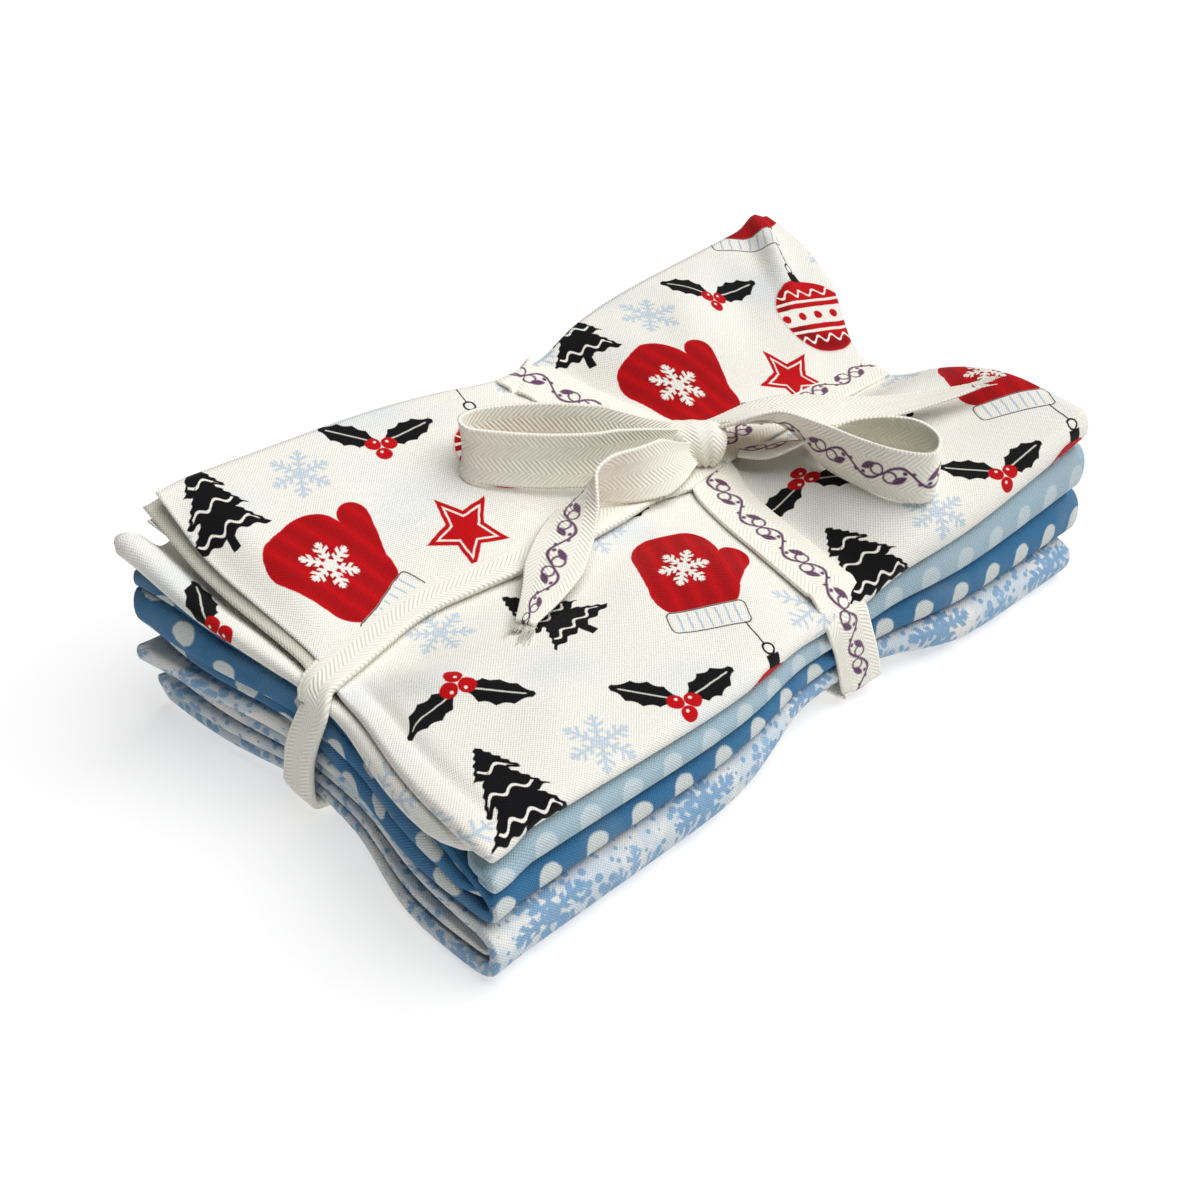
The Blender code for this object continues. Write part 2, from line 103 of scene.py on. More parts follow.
# The left end of each cloth, a table for each of its four layers from the top one down. At each y:
# how far the layer reaches past the plan's end, the height of its middle, and its own height
LEFT_ENDS = {
    "winter": (
        {-67: (1.6, 37.2, 4.6), -58: (1.6, 38.4, 4.6), -41: (1.2, 38.8, 4), -22: (0.4, 39.2, 3.2),
         -4: (-1.4, 39.6, 1.8), 4: (-2.8, 41.2, 1.6), 18: (-3.4, 44.9, 2), 31: (-3.6, 48.8, 2.8),
         42: (-3.6, 51.8, 3.4), 51: (-3.4, 55.1, 3.6), 60: (-3.2, 60.1, 4.6),
         67: (-2.8, 64.4, 5.4)},
        {-67: (-8, 35.6, 0.9), -4: (-7, 38.3, 0.9), 10: (-5, 41.2, 0.9), 18: (-3.4, 43.3, 0.9),
         30: (-4, 46.9, 0.9), 42: (-3.6, 49.4, 0.9), 50: (-3, 52.7, 0.9), 60: (-1, 57, 0.9),
         67: (1, 60, 0.9)},
        {-67: (-3, 34, 2.6), -60: (0.4, 34, 4.6), -52: (2.2, 33.9, 6), -38: (2.8, 34, 6.2),
         -21: (2.8, 34.8, 5.4), -6: (1.8, 36.2, 3.4), 4: (2.4, 38.1, 2.8), 17: (3.8, 40.9, 4),
         28: (4.4, 43.7, 4.6), 42: (5.2, 46.6, 4.8), 51: (5.8, 49.5, 5.4), 60: (7, 53.4, 6.4),
         67: (8.2, 55.8, 6.8)},
        {-67: (0, 33.2, 1.6), -58: (-6, 33.4, 1), -4: (-6, 34.4, 0.9), 10: (0, 38.4, 1),
         28: (2, 41.4, 1.2), 50: (4, 46.2, 1.2), 67: (6, 50, 1.2)},
    ),
    "pale_blue": (
        {-67: (1.2, 29.6, 3.4), -60: (0.6, 29.6, 3.2), -54: (-5, 29.6, 2.4), -48: (-14, 29.6, 1.2),
         0: (-14, 30.6, 1.2), 67: (-14, 42.6, 1.2)},
        {-67: (-14, 28.4, 0.9), 0: (-14, 29.2, 0.9), 67: (-14, 41.2, 0.9)},
        {-67: (-14, 27.2, 0.9), 0: (-14, 27.8, 0.9), 67: (-14, 39.8, 0.9)},
        {-67: (0.6, 25.2, 2.8), -60: (-0.6, 25.6, 2.4), -54: (-6, 26, 1.8), -48: (-14, 26.2, 1.2),
         0: (-14, 26.4, 1.2), 67: (-14, 38.6, 1.2)},
    ),
    "mid_blue": (
        {-67: (1, 21.6, 3.2), -58: (1.2, 25.2, 3), -50: (1.6, 28.9, 3), -40: (1.6, 29.5, 2.8),
         -10: (1.2, 31.6, 2.8), 2: (1.4, 35, 2.6), 17: (2.6, 38, 2.8), 28: (3.4, 40.2, 3),
         50: (5, 44, 3.4), 60: (6, 44.8, 4), 67: (6.4, 44.2, 4.4)},
        {-67: (-2, 19.6, 0.9), -60: (2, 21.4, 3.2), -50: (3, 25, 5), -10: (2.8, 27.6, 5.4),
         2: (3, 30.8, 6), 17: (4.4, 33.4, 7), 28: (5.2, 34.8, 8), 50: (6.6, 37.2, 10.4),
         67: (7.2, 37, 10.4)},
        {-67: (-6, 18.6, 0.9), -10: (-5, 24, 0.9), 28: (-4, 30.4, 1), 67: (-4, 31.2, 1)},
        {-67: (1.8, 16.4, 3), -60: (2.4, 17.4, 3.6), -50: (3, 19.4, 6), -10: (3, 21.6, 6.4),
         2: (2.8, 25.2, 5.4), 17: (3.6, 27.8, 4.8), 28: (4.2, 28.8, 5), 50: (4.4, 29.2, 5.8),
         67: (3.8, 29.2, 5.8)},
    ),
    "lace": (
        {-67: (3, 12.2, 3.2), -40: (3.4, 14, 3.6), 0: (3, 18, 4.4), 28: (4.4, 21.6, 5.4),
         50: (6.4, 21.6, 5.6), 67: (9.4, 21.6, 5.4)},
        {-67: (1, 9.2, 2.2), -40: (2, 10.4, 2.8), 0: (2.2, 13.6, 3.4), 67: (3.4, 15.6, 5)},
        {-67: (3, 6.4, 2.4), -40: (4.4, 7.2, 2.8), 0: (3.4, 10, 3), 67: (5.6, 10.4, 4.2)},
        {-67: (4.8, 2.6, 3.2), -40: (6, 2.9, 3.6), 0: (4, 6.6, 3), 67: (3.6, 4.8, 5.4)},
    ),
}
# The winter cloth's top layer is open at its left end behind the strap: where, and how far its
# lower half reaches past the upper one
OPEN_FROM = 3.0
LOWER_HALF_REACH = 3.2
# A shallow trough along the winter cloth's left end, in front of the strap: its depth, how far in
# from the end it lies, its half width, and between which y it starts
RIM_DENT, RIM_DENT_IN, RIM_DENT_WIDTH, RIM_DENT_FROM = 1.1, 6.0, 2.2, (-2.0, -10.0)
# How far the winter cloth's back right corner stands out, and between which y that grows
CORNER_REACH, CORNER_FROM = 7.6, (8.0, 38.0)
# How much flatter the two inner layers are pressed where they turn at the front, and how wide
TURN_PRESS, TURN_PRESS_WIDTH = 0.4, 5.0
# How round the fold at a layer's left end is, from flat to a half circle, and how many steps it has
END_ROUNDNESS = {"winter": 0.85, "pale_blue": 0.8, "mid_blue": 0.42, "lace": 0.5}
END_STEPS = 8
# How far the layers of each cloth, from the top one down, reach past the plan's right end
RIGHT_ENDS = {
    "winter": (-2.0, -3.5, -4.5, -3.0),
    "pale_blue": (-1.5, -2.5, -2.0, -2.5),
    "mid_blue": (0.5, -1.0, -0.5, 0.0),
    "lace": (-3.0, -4.0, -3.5, -4.5),
}
FRONT_OVERHANG = {"winter": -0.5, "pale_blue": 0.6, "mid_blue": 0.6, "lace": 3.0}
# How far from its left end a layer starts to open, and how far apart its two thicknesses lie before
ROLL_REACH = 13.0
LAYERS_APART = 0.55
LEAST_APART = 0.45
# The columns of each mesh lie closer together over this length at the left end
FINE_END, FINE_COLUMNS = 16.0, 16
# Steps round the fold at the front
FRONT_FOLD_STEPS = 14
# A column away from the straps and the ends, which gives the print its distance past the front fold
GAUGE_COLUMN = 40

TAPE_WIDTH = 16.0
TAPE_THICK = 0.9
# From the cloth to the middle of a strap's thickness
TAPE_OVER = TAPE_THICK / 2 + 0.15
# How far the tape is crowned across its width
STRAP_CROWN, BOW_CROWN = 0.25, 0.7
# Millimetres of a run's length between which it shows its printed side
NO_PRINT, ALL_PRINT = (-2.0, -1.0), (0.0, 200.0)

# Where each strap turns down at the bundle's faces
# The cross strap's front face: z, x of its middle, y, width
CROSS_FRONT = (
    (31, 10.8, -60.6, 15.5), (24, 13.5, -61.4, 14), (16, 16, -62.2, 13.6), (8, 18.2, -62.8, 13.6),
    (3.6, 19.4, -62.4, 14),
)
# Below the bundle it runs from this x at the front, by this slant, with this width. Its back face
# is at this x and y
CROSS_BELOW, CROSS_BACK = (18.0, 0.133, 15.0), (2.5, 62.4)
# The long strap's left face: z, y of its middle, x, width before one side is tucked under
LONG_LEFT = (
    (37, -3.4, -117.2, 9), (28, -0.4, -119, 9.6), (20, 2.2, -119.8, 10.4), (11, 4.3, -119.6, 11.2),
    (4, 5.6, -118.4, 12),
)
# The long strap's right face: x, y
LONG_RIGHT = (113.6, 9.0)

CAMERA_TURN_AND_TILT = (-44.01, 35.2)
CAMERA_PLACE = (-260.2, -247.6, 263.7)
CAMERA_LENS_AND_SENSOR = (45.0, 36.0)
# The key light shines from this place towards the origin, as wide as this angle
KEY_PLACE, KEY_ANGLE = (0.36, -0.32, 1.0), 60

# The knot's wrap of tape: turn about the bow from the top towards the viewer, half width,
# shift along the bow, radius
KNOT_MIDDLE = (25.2, 9.0, 48.2)
KNOT_ALONG, KNOT_TOWARDS = np.array((0.719, -0.695, 0.0)), np.array((-0.695, -0.719, 0.0))
KNOT_WRAP = (
    (-150, 3.5, -1, 4.4), (-90, 6.5, -1, 6.2), (-40, 8.6, -0.6, 7.2), (0, 9.2, 0, 7.6),
    (40, 8.4, 1, 7.4), (75, 6.4, 2.4, 7), (105, 4.2, 3.4, 6.6), (130, 2.6, 3.8, 5.6),
    (160, 1.8, 3.8, 3.6),
)

# The bow's runs of tape. roll is 0 where the tape lies flat and 90 where it stands on its edge.
# x, y, z, roll
LEFT_LOOP = (
    (20, 9.3, 52.5, 75), (7, 9.3, 54.8, 82), (-8, 11.5, 56.5, 84), (-21, 17, 58.5, 85),
    (-33, 24, 61, 86), (-40.5, 30.5, 63, 88), (-39, 35.5, 64, 90), (-31, 35.5, 63.6, 92),
    (-18, 30.5, 62, 94), (-5, 23, 59.5, 96), (8, 16.5, 56, 98), (21, 13, 52.8, 100),
)
RIGHT_LOOP = (
    (32, 4.8, 54.6, 15), (38, -4, 58.5, 20), (40.5, -14, 59, 50), (40.5, -26, 57.2, 75),
    (41.5, -38, 56.2, 82), (44, -49, 55.8, 85), (49.5, -56, 55.6, 88), (56, -53, 57, 92),
    (57, -43.5, 58.3, 95), (52, -31, 57.6, 120), (45, -18, 53, 155), (39.5, -8, 48.5, 178),
    (35.5, -0.5, 46.5, 180),
)
TAIL_FRONT = (
    (20.8, 4.4, 49.8, 60), (9, 1.5, 52.2, 65), (-3, 2, 53.6, 80), (-13, 5, 54.6, 100),
    (-20.5, 6, 53.2, 130), (-29, 2.5, 49.8, 160), (-40, -4.5, 47.5, 180), (-52, -11.5, 44.5, 180),
    (-64, -17.5, 43.2, 180),
)
TAIL_RIGHT = (
    (33, 12, 52, 25), (41, 5, 54.5, 12), (50, -3, 56, 0), (58, -12.5, 56.2, -6),
    (66.5, -19, 56, -8), (76, -25.2, 56.4, -8), (87.7, -32.3, 57.9, -5), (98, -38, 59.8, 0),
)
# The tape's width in the knot and just outside it
KNOT_TAPE_WIDTHS = (6.5, 9.0)
# Loose threads at each cut end, their sides and the points along them
THREADS, THREAD_SIDES, THREAD_STEPS = 16, 3, 6


def at(table, where):
    """Values of a {where: value} table, joined by a smooth curve."""
    places, values = np.array(list(table), float), np.array(list(table.values()), float)
    slopes = np.gradient(values, places)
    where = np.asarray(where, float)
    i = np.clip(np.searchsorted(places, where) - 1, 0, len(places) - 2)
    span = places[i + 1] - places[i]
    t = np.clip((where - places[i]) / span, 0.0, 1.0)
    return (
        (2 * t**3 - 3 * t**2 + 1) * values[i]
        + (t**3 - 2 * t**2 + t) * span * slopes[i]
        + (3 * t**2 - 2 * t**3) * values[i + 1]
        + (t**3 - t**2) * span * slopes[i + 1]
    )


def step(low, high, value):
    """0 below low, 1 above high and smooth between."""
    t = np.clip((value - low) / (high - low), 0.0, 1.0)
    return t * t * (3 - 2 * t)


def from_straps(x, y):
    """Distance of plan points from each strap, and the same as a share of the way to the side."""
    strap_x, strap_y = at(CROSS_STRAP, y), at(LONG_STRAP, x)
    dx, dy = x - strap_x, y - strap_y
    along = dx / np.where(dx > 0, HALF_LENGTH - strap_x, HALF_LENGTH + strap_x)
    across = dy / np.where(dy > 0, HALF_WIDTH - strap_y, HALF_WIDTH + strap_y)
    return dx, dy, along, across


def beside(distance):
    """How far a point lies past the flat strip under a strap."""
    return np.maximum(np.abs(distance) - STRIP_HALF, 0.0)


def bell(t):
    """A smooth hump, 1 at 0 and 0 from 1 on."""
    return np.maximum(0.0, 1.0 - t * t) ** 2


def level_height(level, x, y):
    """Height of the underside (level 0) or of the top of cloth number level, at plan points."""
    x, y = np.broadcast_arrays(np.asarray(x, float), np.asarray(y, float))
    dx, dy, along, across = from_straps(x, y)
    nodes = HEIGHTS[..., level]
    end, side = np.where(dx >= 0, 2, 0), np.where(dy >= 0, 2, 0)
    if level == 0:
        b, a = np.minimum(np.abs(across), 1), np.minimum(np.abs(along), 1)
        cross = nodes[1, 1] * (1 - b) + nodes[1, side] * b
        long = nodes[1, 1] * (1 - a) + nodes[end, 1] * a
        width = np.interp(across, CROSS_LIFT_PLACES, CROSS_LIFT_WIDTHS)
        return np.maximum(
            cross * bell(beside(dx) / width), long * bell(beside(dy) / LONG_LIFT_WIDTH)
        )
    a, b = np.minimum(np.abs(along), 1.1), np.minimum(np.abs(across), 1.1)
    height = (1 - a) * (1 - b) * nodes[1, 1] + a * (1 - b) * nodes[end, 1]
    height = height + (1 - a) * b * nodes[1, side] + a * b * nodes[end, side]
    trough = 1.0
    for distance in (dx, dy):
        trough = trough * (1 - np.exp(-((beside(distance) / TROUGH_WIDTH) ** 2)))
    droop = 1 - 3 * np.maximum(b - 0.6, 0.0) ** 2
    height = height + np.where(end > 0, *SWELL) * SWELL_SHARE[level] * trough * droop
    if level == 3:
        below = level_height(2, x, y)
        full = step(-HALF_LENGTH - 2.0, -HALF_LENGTH + 12.0, x)
        height = below + (height - below) * (PALE_LEFT_SHARE + (1 - PALE_LEFT_SHARE) * full)
    return height


# Soft folds in the stack's top: each a ridge or a trough along a line in plan
# x, y and x, y of its ends, height, half width
CREASES = (
    (-112, 0, -76, -42, 3.2, 5), (-60, -30, -100, -62, 1.5, 9), (114, -12, 108, -60, 2, 9),
    (-86, -6, -30, -26, -1.4, 6), (-26, -20, -34, -64, -0.9, 8), (-4, -14, -10, -62, 1.6, 7),
    (36, -22, 66, -58, 1.8, 8), (52, -10, 98, -52, -1.1, 7), (70, -6, 110, -26, 1.3, 8),
    (121, 78, 98, 30, 4.2, 3.8), (96, 64, 70, 18, -1.9, 9), (46, 24, 74, 62, 1.7, 8),
    (14, 26, 6, 60, -0.8, 8), (-50, 14, -104, 30, -0.8, 7), (-100, 14, -62, 58, 0.9, 9),
    (-30, 20, -40, 60, 0.8, 8),
)


def creases(x, y):
    """The soft folds' height at plan points."""
    height = np.zeros(np.broadcast(x, y).shape)
    for x0, y0, x1, y1, rise, half in CREASES:
        length = math.hypot(x1 - x0, y1 - y0)
        ux, uy = (x1 - x0) / length, (y1 - y0) / length
        along = ((x - x0) * ux + (y - y0) * uy) / length
        across = (x - x0) * -uy + (y - y0) * ux
        height += rise * np.exp(-((across / half) ** 2)) * bell(2 * np.clip(along, 0, 1) - 1)
    dx, dy, _, _ = from_straps(x, y)
    for off, wave in (
        (beside(dx), np.sin(y / 2.4 + 1.5 * np.sin(x / 9))),
        (beside(dy), np.sin(x / 2.9 + 1.8 * np.sin(y / 8))),
    ):
        height = height + PUCKER * wave * np.exp(-off / 7) * step(0, 3, off)
    return height


def crease_lift(x, y, z):
    """How far the soft folds move a point at height z: the less, the lower it lies in the stack."""
    return creases(x, y) * np.clip(z / CREASE_HEIGHT, 0, 1.3) ** 1.5


def cloth_top(x, y):
    """Height of the bundle's top surface at plan points."""
    top = level_height(4, x, y)
    return top + crease_lift(x, y, top)


def drawn_in(x, y):
    """Plan points after the straps have drawn the sides in."""
    dx, dy, along, across = from_straps(x, y)
    in_y = CROSS_PINCH * np.exp(-((beside(dx) / CROSS_PINCH_WIDTH) ** 2)) * across**3
    in_x = LONG_PINCH * np.exp(-((beside(dy) / LONG_PINCH_WIDTH) ** 2)) * along**3
    return x - in_x, y - in_y


def cloth_path(top_rows, inner_rows):
    """The back-and-forth path of a cloth from its top layer's back edge.

    A row gives y, the share of the cloth's height, the two layers it lies between and the mix.
    """
    turn = OUTER_FOLD_DEPTH - HALF_WIDTH
    back = HALF_WIDTH - BACK_FOLD_DEPTH
    inner = -HALF_WIDTH + INNER_FOLD_SETBACK + INNER_FOLD_DEPTH

    def run(start, end, rows, layer):
        return [(y, 1 - layer / 3, layer, layer, 0.0) for y in np.linspace(start, end, rows)]

    def fold(centre, depth, first, second, rows):
        bends = []
        for angle in np.pi * np.arange(1, rows) / rows:
            mix = (1 - math.cos(angle)) / 2
            share = 1 - (first + (second - first) * mix) / 3
            bends.append((centre + depth * math.sin(angle), share, first, second, mix))
        return bends

    path = run(HALF_WIDTH, turn, top_rows, 0)
    path += fold(turn, -OUTER_FOLD_DEPTH, 0, 3, FRONT_FOLD_STEPS)
    path += run(turn, back, inner_rows, 3)
    path += fold(back, BACK_FOLD_DEPTH, 3, 2, 6)
    path += run(back, inner, inner_rows, 2)
    path += fold(inner, -INNER_FOLD_DEPTH, 2, 1, 8)
    path += run(inner, back, inner_rows, 1)
    return path


def end_spacing(columns):
    """Shares of the way from the right end to the left, closer together near the left end."""
    fine = np.linspace(1 - FINE_END / (2 * HALF_LENGTH), 1.0, FINE_COLUMNS)
    return np.concatenate([np.linspace(0.0, fine[0], columns)[:-1], fine])


def folded_quarter(name, level, top_rows, inner_rows, columns):
    """The mesh of one quarter: doubled with that fold at the left end, folded back and forth."""
    y, share, first, second, mix = np.array(cloth_path(top_rows, inner_rows)).T
    y, share, first, second = y[None, :], share[None, :], first.astype(int), second.astype(int)
    inner_turn = np.abs(first - second) == 1
    on_top = (first == 0) & (second == 0)

    def mixed(layers):
        """Values given for each layer, as they are along the path."""
        rows = np.arange(len(first))
        layers = np.array(layers)
        return ((1 - mix) * layers[first, rows] + mix * layers[second, rows])[None, :]

    past, end_z, tall = (
        mixed([
            at({where: row[part] for where, row in layer.items()}, y[0])
            for layer in LEFT_ENDS[name]
        ])
        for part in range(3)
    )
    right = mixed([np.full(len(first), reach) for reach in RIGHT_ENDS[name]])
    if name == "winter":
        right = right + CORNER_REACH * step(*CORNER_FROM, y) * (first == 0)
    inside = (first == 1) | (first == 2) | inner_turn
    tall = tall * (
        1 - TURN_PRESS * np.exp(-(((y + HALF_WIDTH - 3.0) / TURN_PRESS_WIDTH) ** 2)) * inside
    )

    t = end_spacing(columns)[:, None]
    left_x, right_x = -HALF_LENGTH - past, HALF_LENGTH + right
    x = right_x + (left_x - right_x) * t
    low = level_height(level, x, y) + (REST_GAP if level else FLOOR_GAP)
    high = level_height(level + 1, x, y) - REST_GAP
    roll = step(0.0, 1.0, 1 - (x - left_x) / ROLL_REACH) ** 1.5
    edge = LAYERS_APART / 2 / (high - low)
    flat = low + np.clip(share, edge, 1 - edge) * (high - low)
    z = flat + (end_z - flat) * roll
    if name == "winter":
        dent = np.exp(-(((x - left_x - RIM_DENT_IN) / RIM_DENT_WIDTH) ** 2))
        z = z - RIM_DENT * dent * (on_top * step(*RIM_DENT_FROM, y))
    apart = np.maximum(LAYERS_APART + (tall - LAYERS_APART) * roll, LEAST_APART)
    px, py = drawn_in(x, y)
    dx = from_straps(x, y)[0]
    clear = 1 - np.exp(-((beside(dx) / CROSS_PINCH_WIDTH) ** 2))
    past_turn = np.clip((-HALF_WIDTH + OUTER_FOLD_DEPTH + 1.0 - y) / OUTER_FOLD_DEPTH, 0, 1)
    py = py - FRONT_OVERHANG[name] * clear * past_turn
    points = np.stack([px, np.broadcast_to(py, px.shape), z + crease_lift(x, y, z)], axis=-1)

    along = np.gradient(points, axis=0)
    across = np.gradient(points, axis=1)
    normal = np.cross(along, across)
    normal /= np.linalg.norm(normal, axis=-1, keepdims=True) + 1e-9
    outward = along / (np.linalg.norm(along, axis=-1, keepdims=True) + 1e-9)

    half = (apart / 2)[..., None]
    outer = points + normal * half
    inner = points - normal * half
    if name == "winter":
        inner[..., 0] -= LOWER_HALF_REACH * roll * (on_top & (y[0] > OPEN_FROM))
    bends = []
    for angle in np.pi * np.arange(1, END_STEPS) / END_STEPS:
        bulge = points[-1] + normal[-1] * half[-1] * math.cos(angle)
        bends.append(bulge + outward[-1] * half[-1] * math.sin(angle) * END_ROUNDNESS[name])
    grid = np.concatenate([outer, np.array(bends), inner[::-1]], axis=0)

    u = np.cumsum(np.linalg.norm(np.diff(grid, axis=0, prepend=grid[:1]), axis=-1), axis=0)
    v = np.cumsum(np.linalg.norm(np.diff(grid, axis=1, prepend=grid[:, :1]), axis=-1), axis=1)
    front = top_rows + FRONT_FOLD_STEPS // 2 - 1
    v = v[:, front, None] - v
    v[:, front:] = v[GAUGE_COLUMN, front:]
    outside = slice(len(t) - 1, None, -1)
    middle = [
        np.interp(0.0, grid[outside, row, 0], u[outside, row]) for row in range(grid.shape[1])
    ]
    uv = np.stack([np.array(middle) + HALF_LENGTH - u, v], axis=-1) * MM
    keep = np.ones((grid.shape[0] - 1, grid.shape[1] - 1), bool)
    if name == "winter":
        keep[len(t) - 1 : len(t) - 1 + END_STEPS] = ~((first == 0) & (y[0] > OPEN_FROM))[:-1]
    return grid_mesh("quarter_" + name, grid, uv, keep)


def new_piece(name, points, faces):
    """An object from points in millimetres, with an empty UV map."""
    mesh = bpy.data.meshes.new(name)
    mesh.from_pydata(((points + TO_CENTRE) * MM).tolist(), [], faces)
    mesh.uv_layers.new(name="cloth")
    piece = bpy.data.objects.new(name, mesh)
    bpy.context.scene.collection.objects.link(piece)
    return piece


def grid_mesh(name, grid, uv, keep=slice(None)):
    """An object from a grid of points, with a UV map in metres, and only the faces to keep."""
    rows, columns = grid.shape[:2]
    index = np.arange(rows * columns).reshape(rows, columns)
    quads = np.stack([index[:-1, :-1], index[1:, :-1], index[1:, 1:], index[:-1, 1:]], axis=-1)
    faces = quads[keep].reshape(-1, 4)
    piece = new_piece(name, grid.reshape(-1, 3), faces.tolist())
    flat = uv.reshape(-1, 2)[faces.reshape(-1)]
    piece.data.uv_layers["cloth"].data.foreach_set("uv", flat.astype(np.float32).ravel())
    piece.data.polygons.foreach_set("use_smooth", [True] * len(faces))
    return piece


def thicken(piece, thickness, offset=-1.0):
    """Gives a sheet its thickness. The other side takes the material in the next slot."""
    solid = piece.modifiers.new("thickness", "SOLIDIFY")
    solid.thickness, solid.offset, solid.material_offset = thickness, offset, 1
    solid.use_even_offset = False
    bpy.ops.object.select_all(action="DESELECT")
    piece.select_set(True)
    bpy.context.view_layer.objects.active = piece
    bpy.ops.object.modifier_apply(modifier=solid.name)


def smooth_rows(table, steps):
    """The rows of a table joined by a smooth curve, with steps points for each gap."""
    rows = [np.array(row, float) for row in table]
    padded = [2 * rows[0] - rows[1]] + rows + [2 * rows[-1] - rows[-2]]
    result = []
    for a, b, c, d in zip(padded, padded[1:], padded[2:], padded[3:]):
        for t in np.arange(steps) / steps:
            bend = (2 * a - 5 * b + 4 * c - d) * t**2 + (3 * b - a - 3 * c + d) * t**3
            result.append(b + ((c - a) * t + bend) / 2)
    result.append(rows[-1])
    return np.array(result)


def tape_mesh(name, centres, across, widths, crown, tucked=None):
    """A run of tape along points, given at each a vector across it, its width and its crown.

    Where tucked is above zero, that share of the width is folded underneath along one side, and a
    step runs along the other side, where the folded tape's edge shows through.
    """
    way = np.gradient(centres, axis=0)
    way /= np.linalg.norm(way, axis=1, keepdims=True)
    across = across - way * (across * way).sum(axis=1, keepdims=True)
    across /= np.linalg.norm(across, axis=1, keepdims=True)
    normal = np.cross(way, across)
    s = np.linspace(-1, 1, 25)[None, :]
    half = widths[:, None] / 2
    aside, rise = s * half, (1 - s**2) * crown
    if tucked is not None:
        tucked = tucked[:, None]
        fold_at = half * (1 - 2 * tucked)
        past = np.clip(aside - fold_at, 0, None)
        under = np.clip(past / 0.8, 0, 1)
        aside = np.where(past > 0, fold_at - past + 0.5 * np.sin(under * math.pi), aside)
        rise = rise - 1.15 * step(0, 1, under)
        lip = step(-0.72, -0.84, s) * step(0.0, 0.2, tucked)
        rise = rise - 0.3 * lip + 0.15 * step(-0.9, -1.0, s) * lip
    grid = (
        centres[:, None, :]
        + across[:, None, :] * aside[..., None]
        + normal[:, None, :] * rise[..., None]
    )
    return tape_grid(name, grid, centres)


def tape_grid(name, grid, middle):
    """A run of tape from a grid of points, and how far along it each point of its middle lies."""
    run = np.concatenate([[0.0], np.cumsum(np.linalg.norm(np.diff(middle, axis=0), axis=1))])
    aside = np.linspace(-1, 1, grid.shape[1]) * TAPE_WIDTH / 2
    uv = np.stack(np.meshgrid(run, aside, indexing="ij"), axis=-1) * MM
    return grid_mesh(name, grid, uv), run


def finish_tape(piece, node, printed):
    """Gives a run of tape its thickness and its two sides, with print over some of its length."""
    for material in ("printed_tape", "plain_tape", "plain_tape"):
        piece.data.materials.append(bpy.data.materials[material])
    start, end = printed
    uv = piece.data.uv_layers["cloth"].data
    for face in piece.data.polygons:
        face.material_index = 0 if start <= uv[face.loop_start].uv.x / MM <= end else 1
    thicken(piece, TAPE_THICK * MM, offset=0.0)
    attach(piece, "root")
    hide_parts(node)


def bow_run(name, table, taper=None):
    """A loop of the bow, or with taper, its start and its last width as shares, a free end."""
    rows = smooth_rows(table, 12)
    centres = rows[:, :3]
    way = np.gradient(centres, axis=0)
    way /= np.linalg.norm(way, axis=1, keepdims=True)
    level = np.cross(way, (0.0, 0.0, 1.0))
    level /= np.linalg.norm(level, axis=1, keepdims=True)
    upright = np.cross(level, way)
    roll = np.radians(rows[:, 3])[:, None]
    across = level * np.cos(roll) + upright * np.sin(roll)
    share = np.linspace(0, 1, len(rows))
    from_knot = share if taper else np.minimum(share, 1 - share)
    widths = np.interp(from_knot, (0.0, 0.05, 0.16), (*KNOT_TAPE_WIDTHS, TAPE_WIDTH))
    if taper:
        widths = widths * np.interp(share, (taper[0], 1.0), (1.0, taper[1]))
    return tape_mesh(name, centres, across, widths, BOW_CROWN)


def frayed_end(name, table, width, seed):
    """Loose threads that fan out of a free end's cut tip, as fine three-sided strands."""
    chance = np.random.default_rng(seed)
    tip, before = np.array(table[-1][:3]), np.array(table[-2][:3])
    way = (tip - before) / np.linalg.norm(tip - before)
    side = np.cross(way, (0.0, 0.0, 1.0))
    strands, faces = [], []
    t = np.linspace(0, 1, THREAD_STEPS)[:, None]
    angles = np.radians(np.arange(THREAD_SIDES) * 360 / THREAD_SIDES)[:, None]
    ring = side * np.cos(angles) + np.cross(side, way) * np.sin(angles)
    for i in range(THREADS):
        place = (i + 0.5) / THREADS * 2 - 1
        # The first of the four draws has no use, and only keeps the others in their order
        _, fan, lift, length = chance.uniform((-0.4, -0.06, -0.1, 3.0), (0.4, 0.06, 0.02, 9.0))
        start = tip + side * place * width / 2 - way * 1.5
        line = start + way * length * t + side * (0.1 * place + fan) * length * t**1.6
        line = line + np.array((0.0, 0.0, 1.0)) * (lift * length * t)
        strands += [centre + ring * (0.34 - 0.04 * j) for j, centre in enumerate(line)]
        first = i * THREAD_SIDES * THREAD_STEPS
        for j in range(THREAD_STEPS - 1):
            for k in range(THREAD_SIDES):
                a, b = (first + THREAD_SIDES * j + (k + turn) % THREAD_SIDES for turn in (0, 1))
                faces.append((a, a + THREAD_SIDES, b + THREAD_SIDES, b))
        last = first + THREAD_SIDES * THREAD_STEPS
        faces += [range(first, first + THREAD_SIDES), range(last - 1, last - 1 - THREAD_SIDES, -1)]
    piece = new_piece(name, np.concatenate(strands), [list(face) for face in faces])
    piece.data.materials.append(bpy.data.materials["plain_tape"])
    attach(piece, "root")
    return piece


def joined(*stretches):
    """Rows of several stretches of tape, joined by one smooth curve through their points."""
    return np.concatenate([np.array(stretch, float) for stretch in stretches])


def over_cloth(x, y, lift=0.0, width=TAPE_WIDTH):
    """A row of tape that lies on the bundle's top: its middle and its width."""
    return x, y, cloth_top(x, y) + TAPE_OVER + lift, width


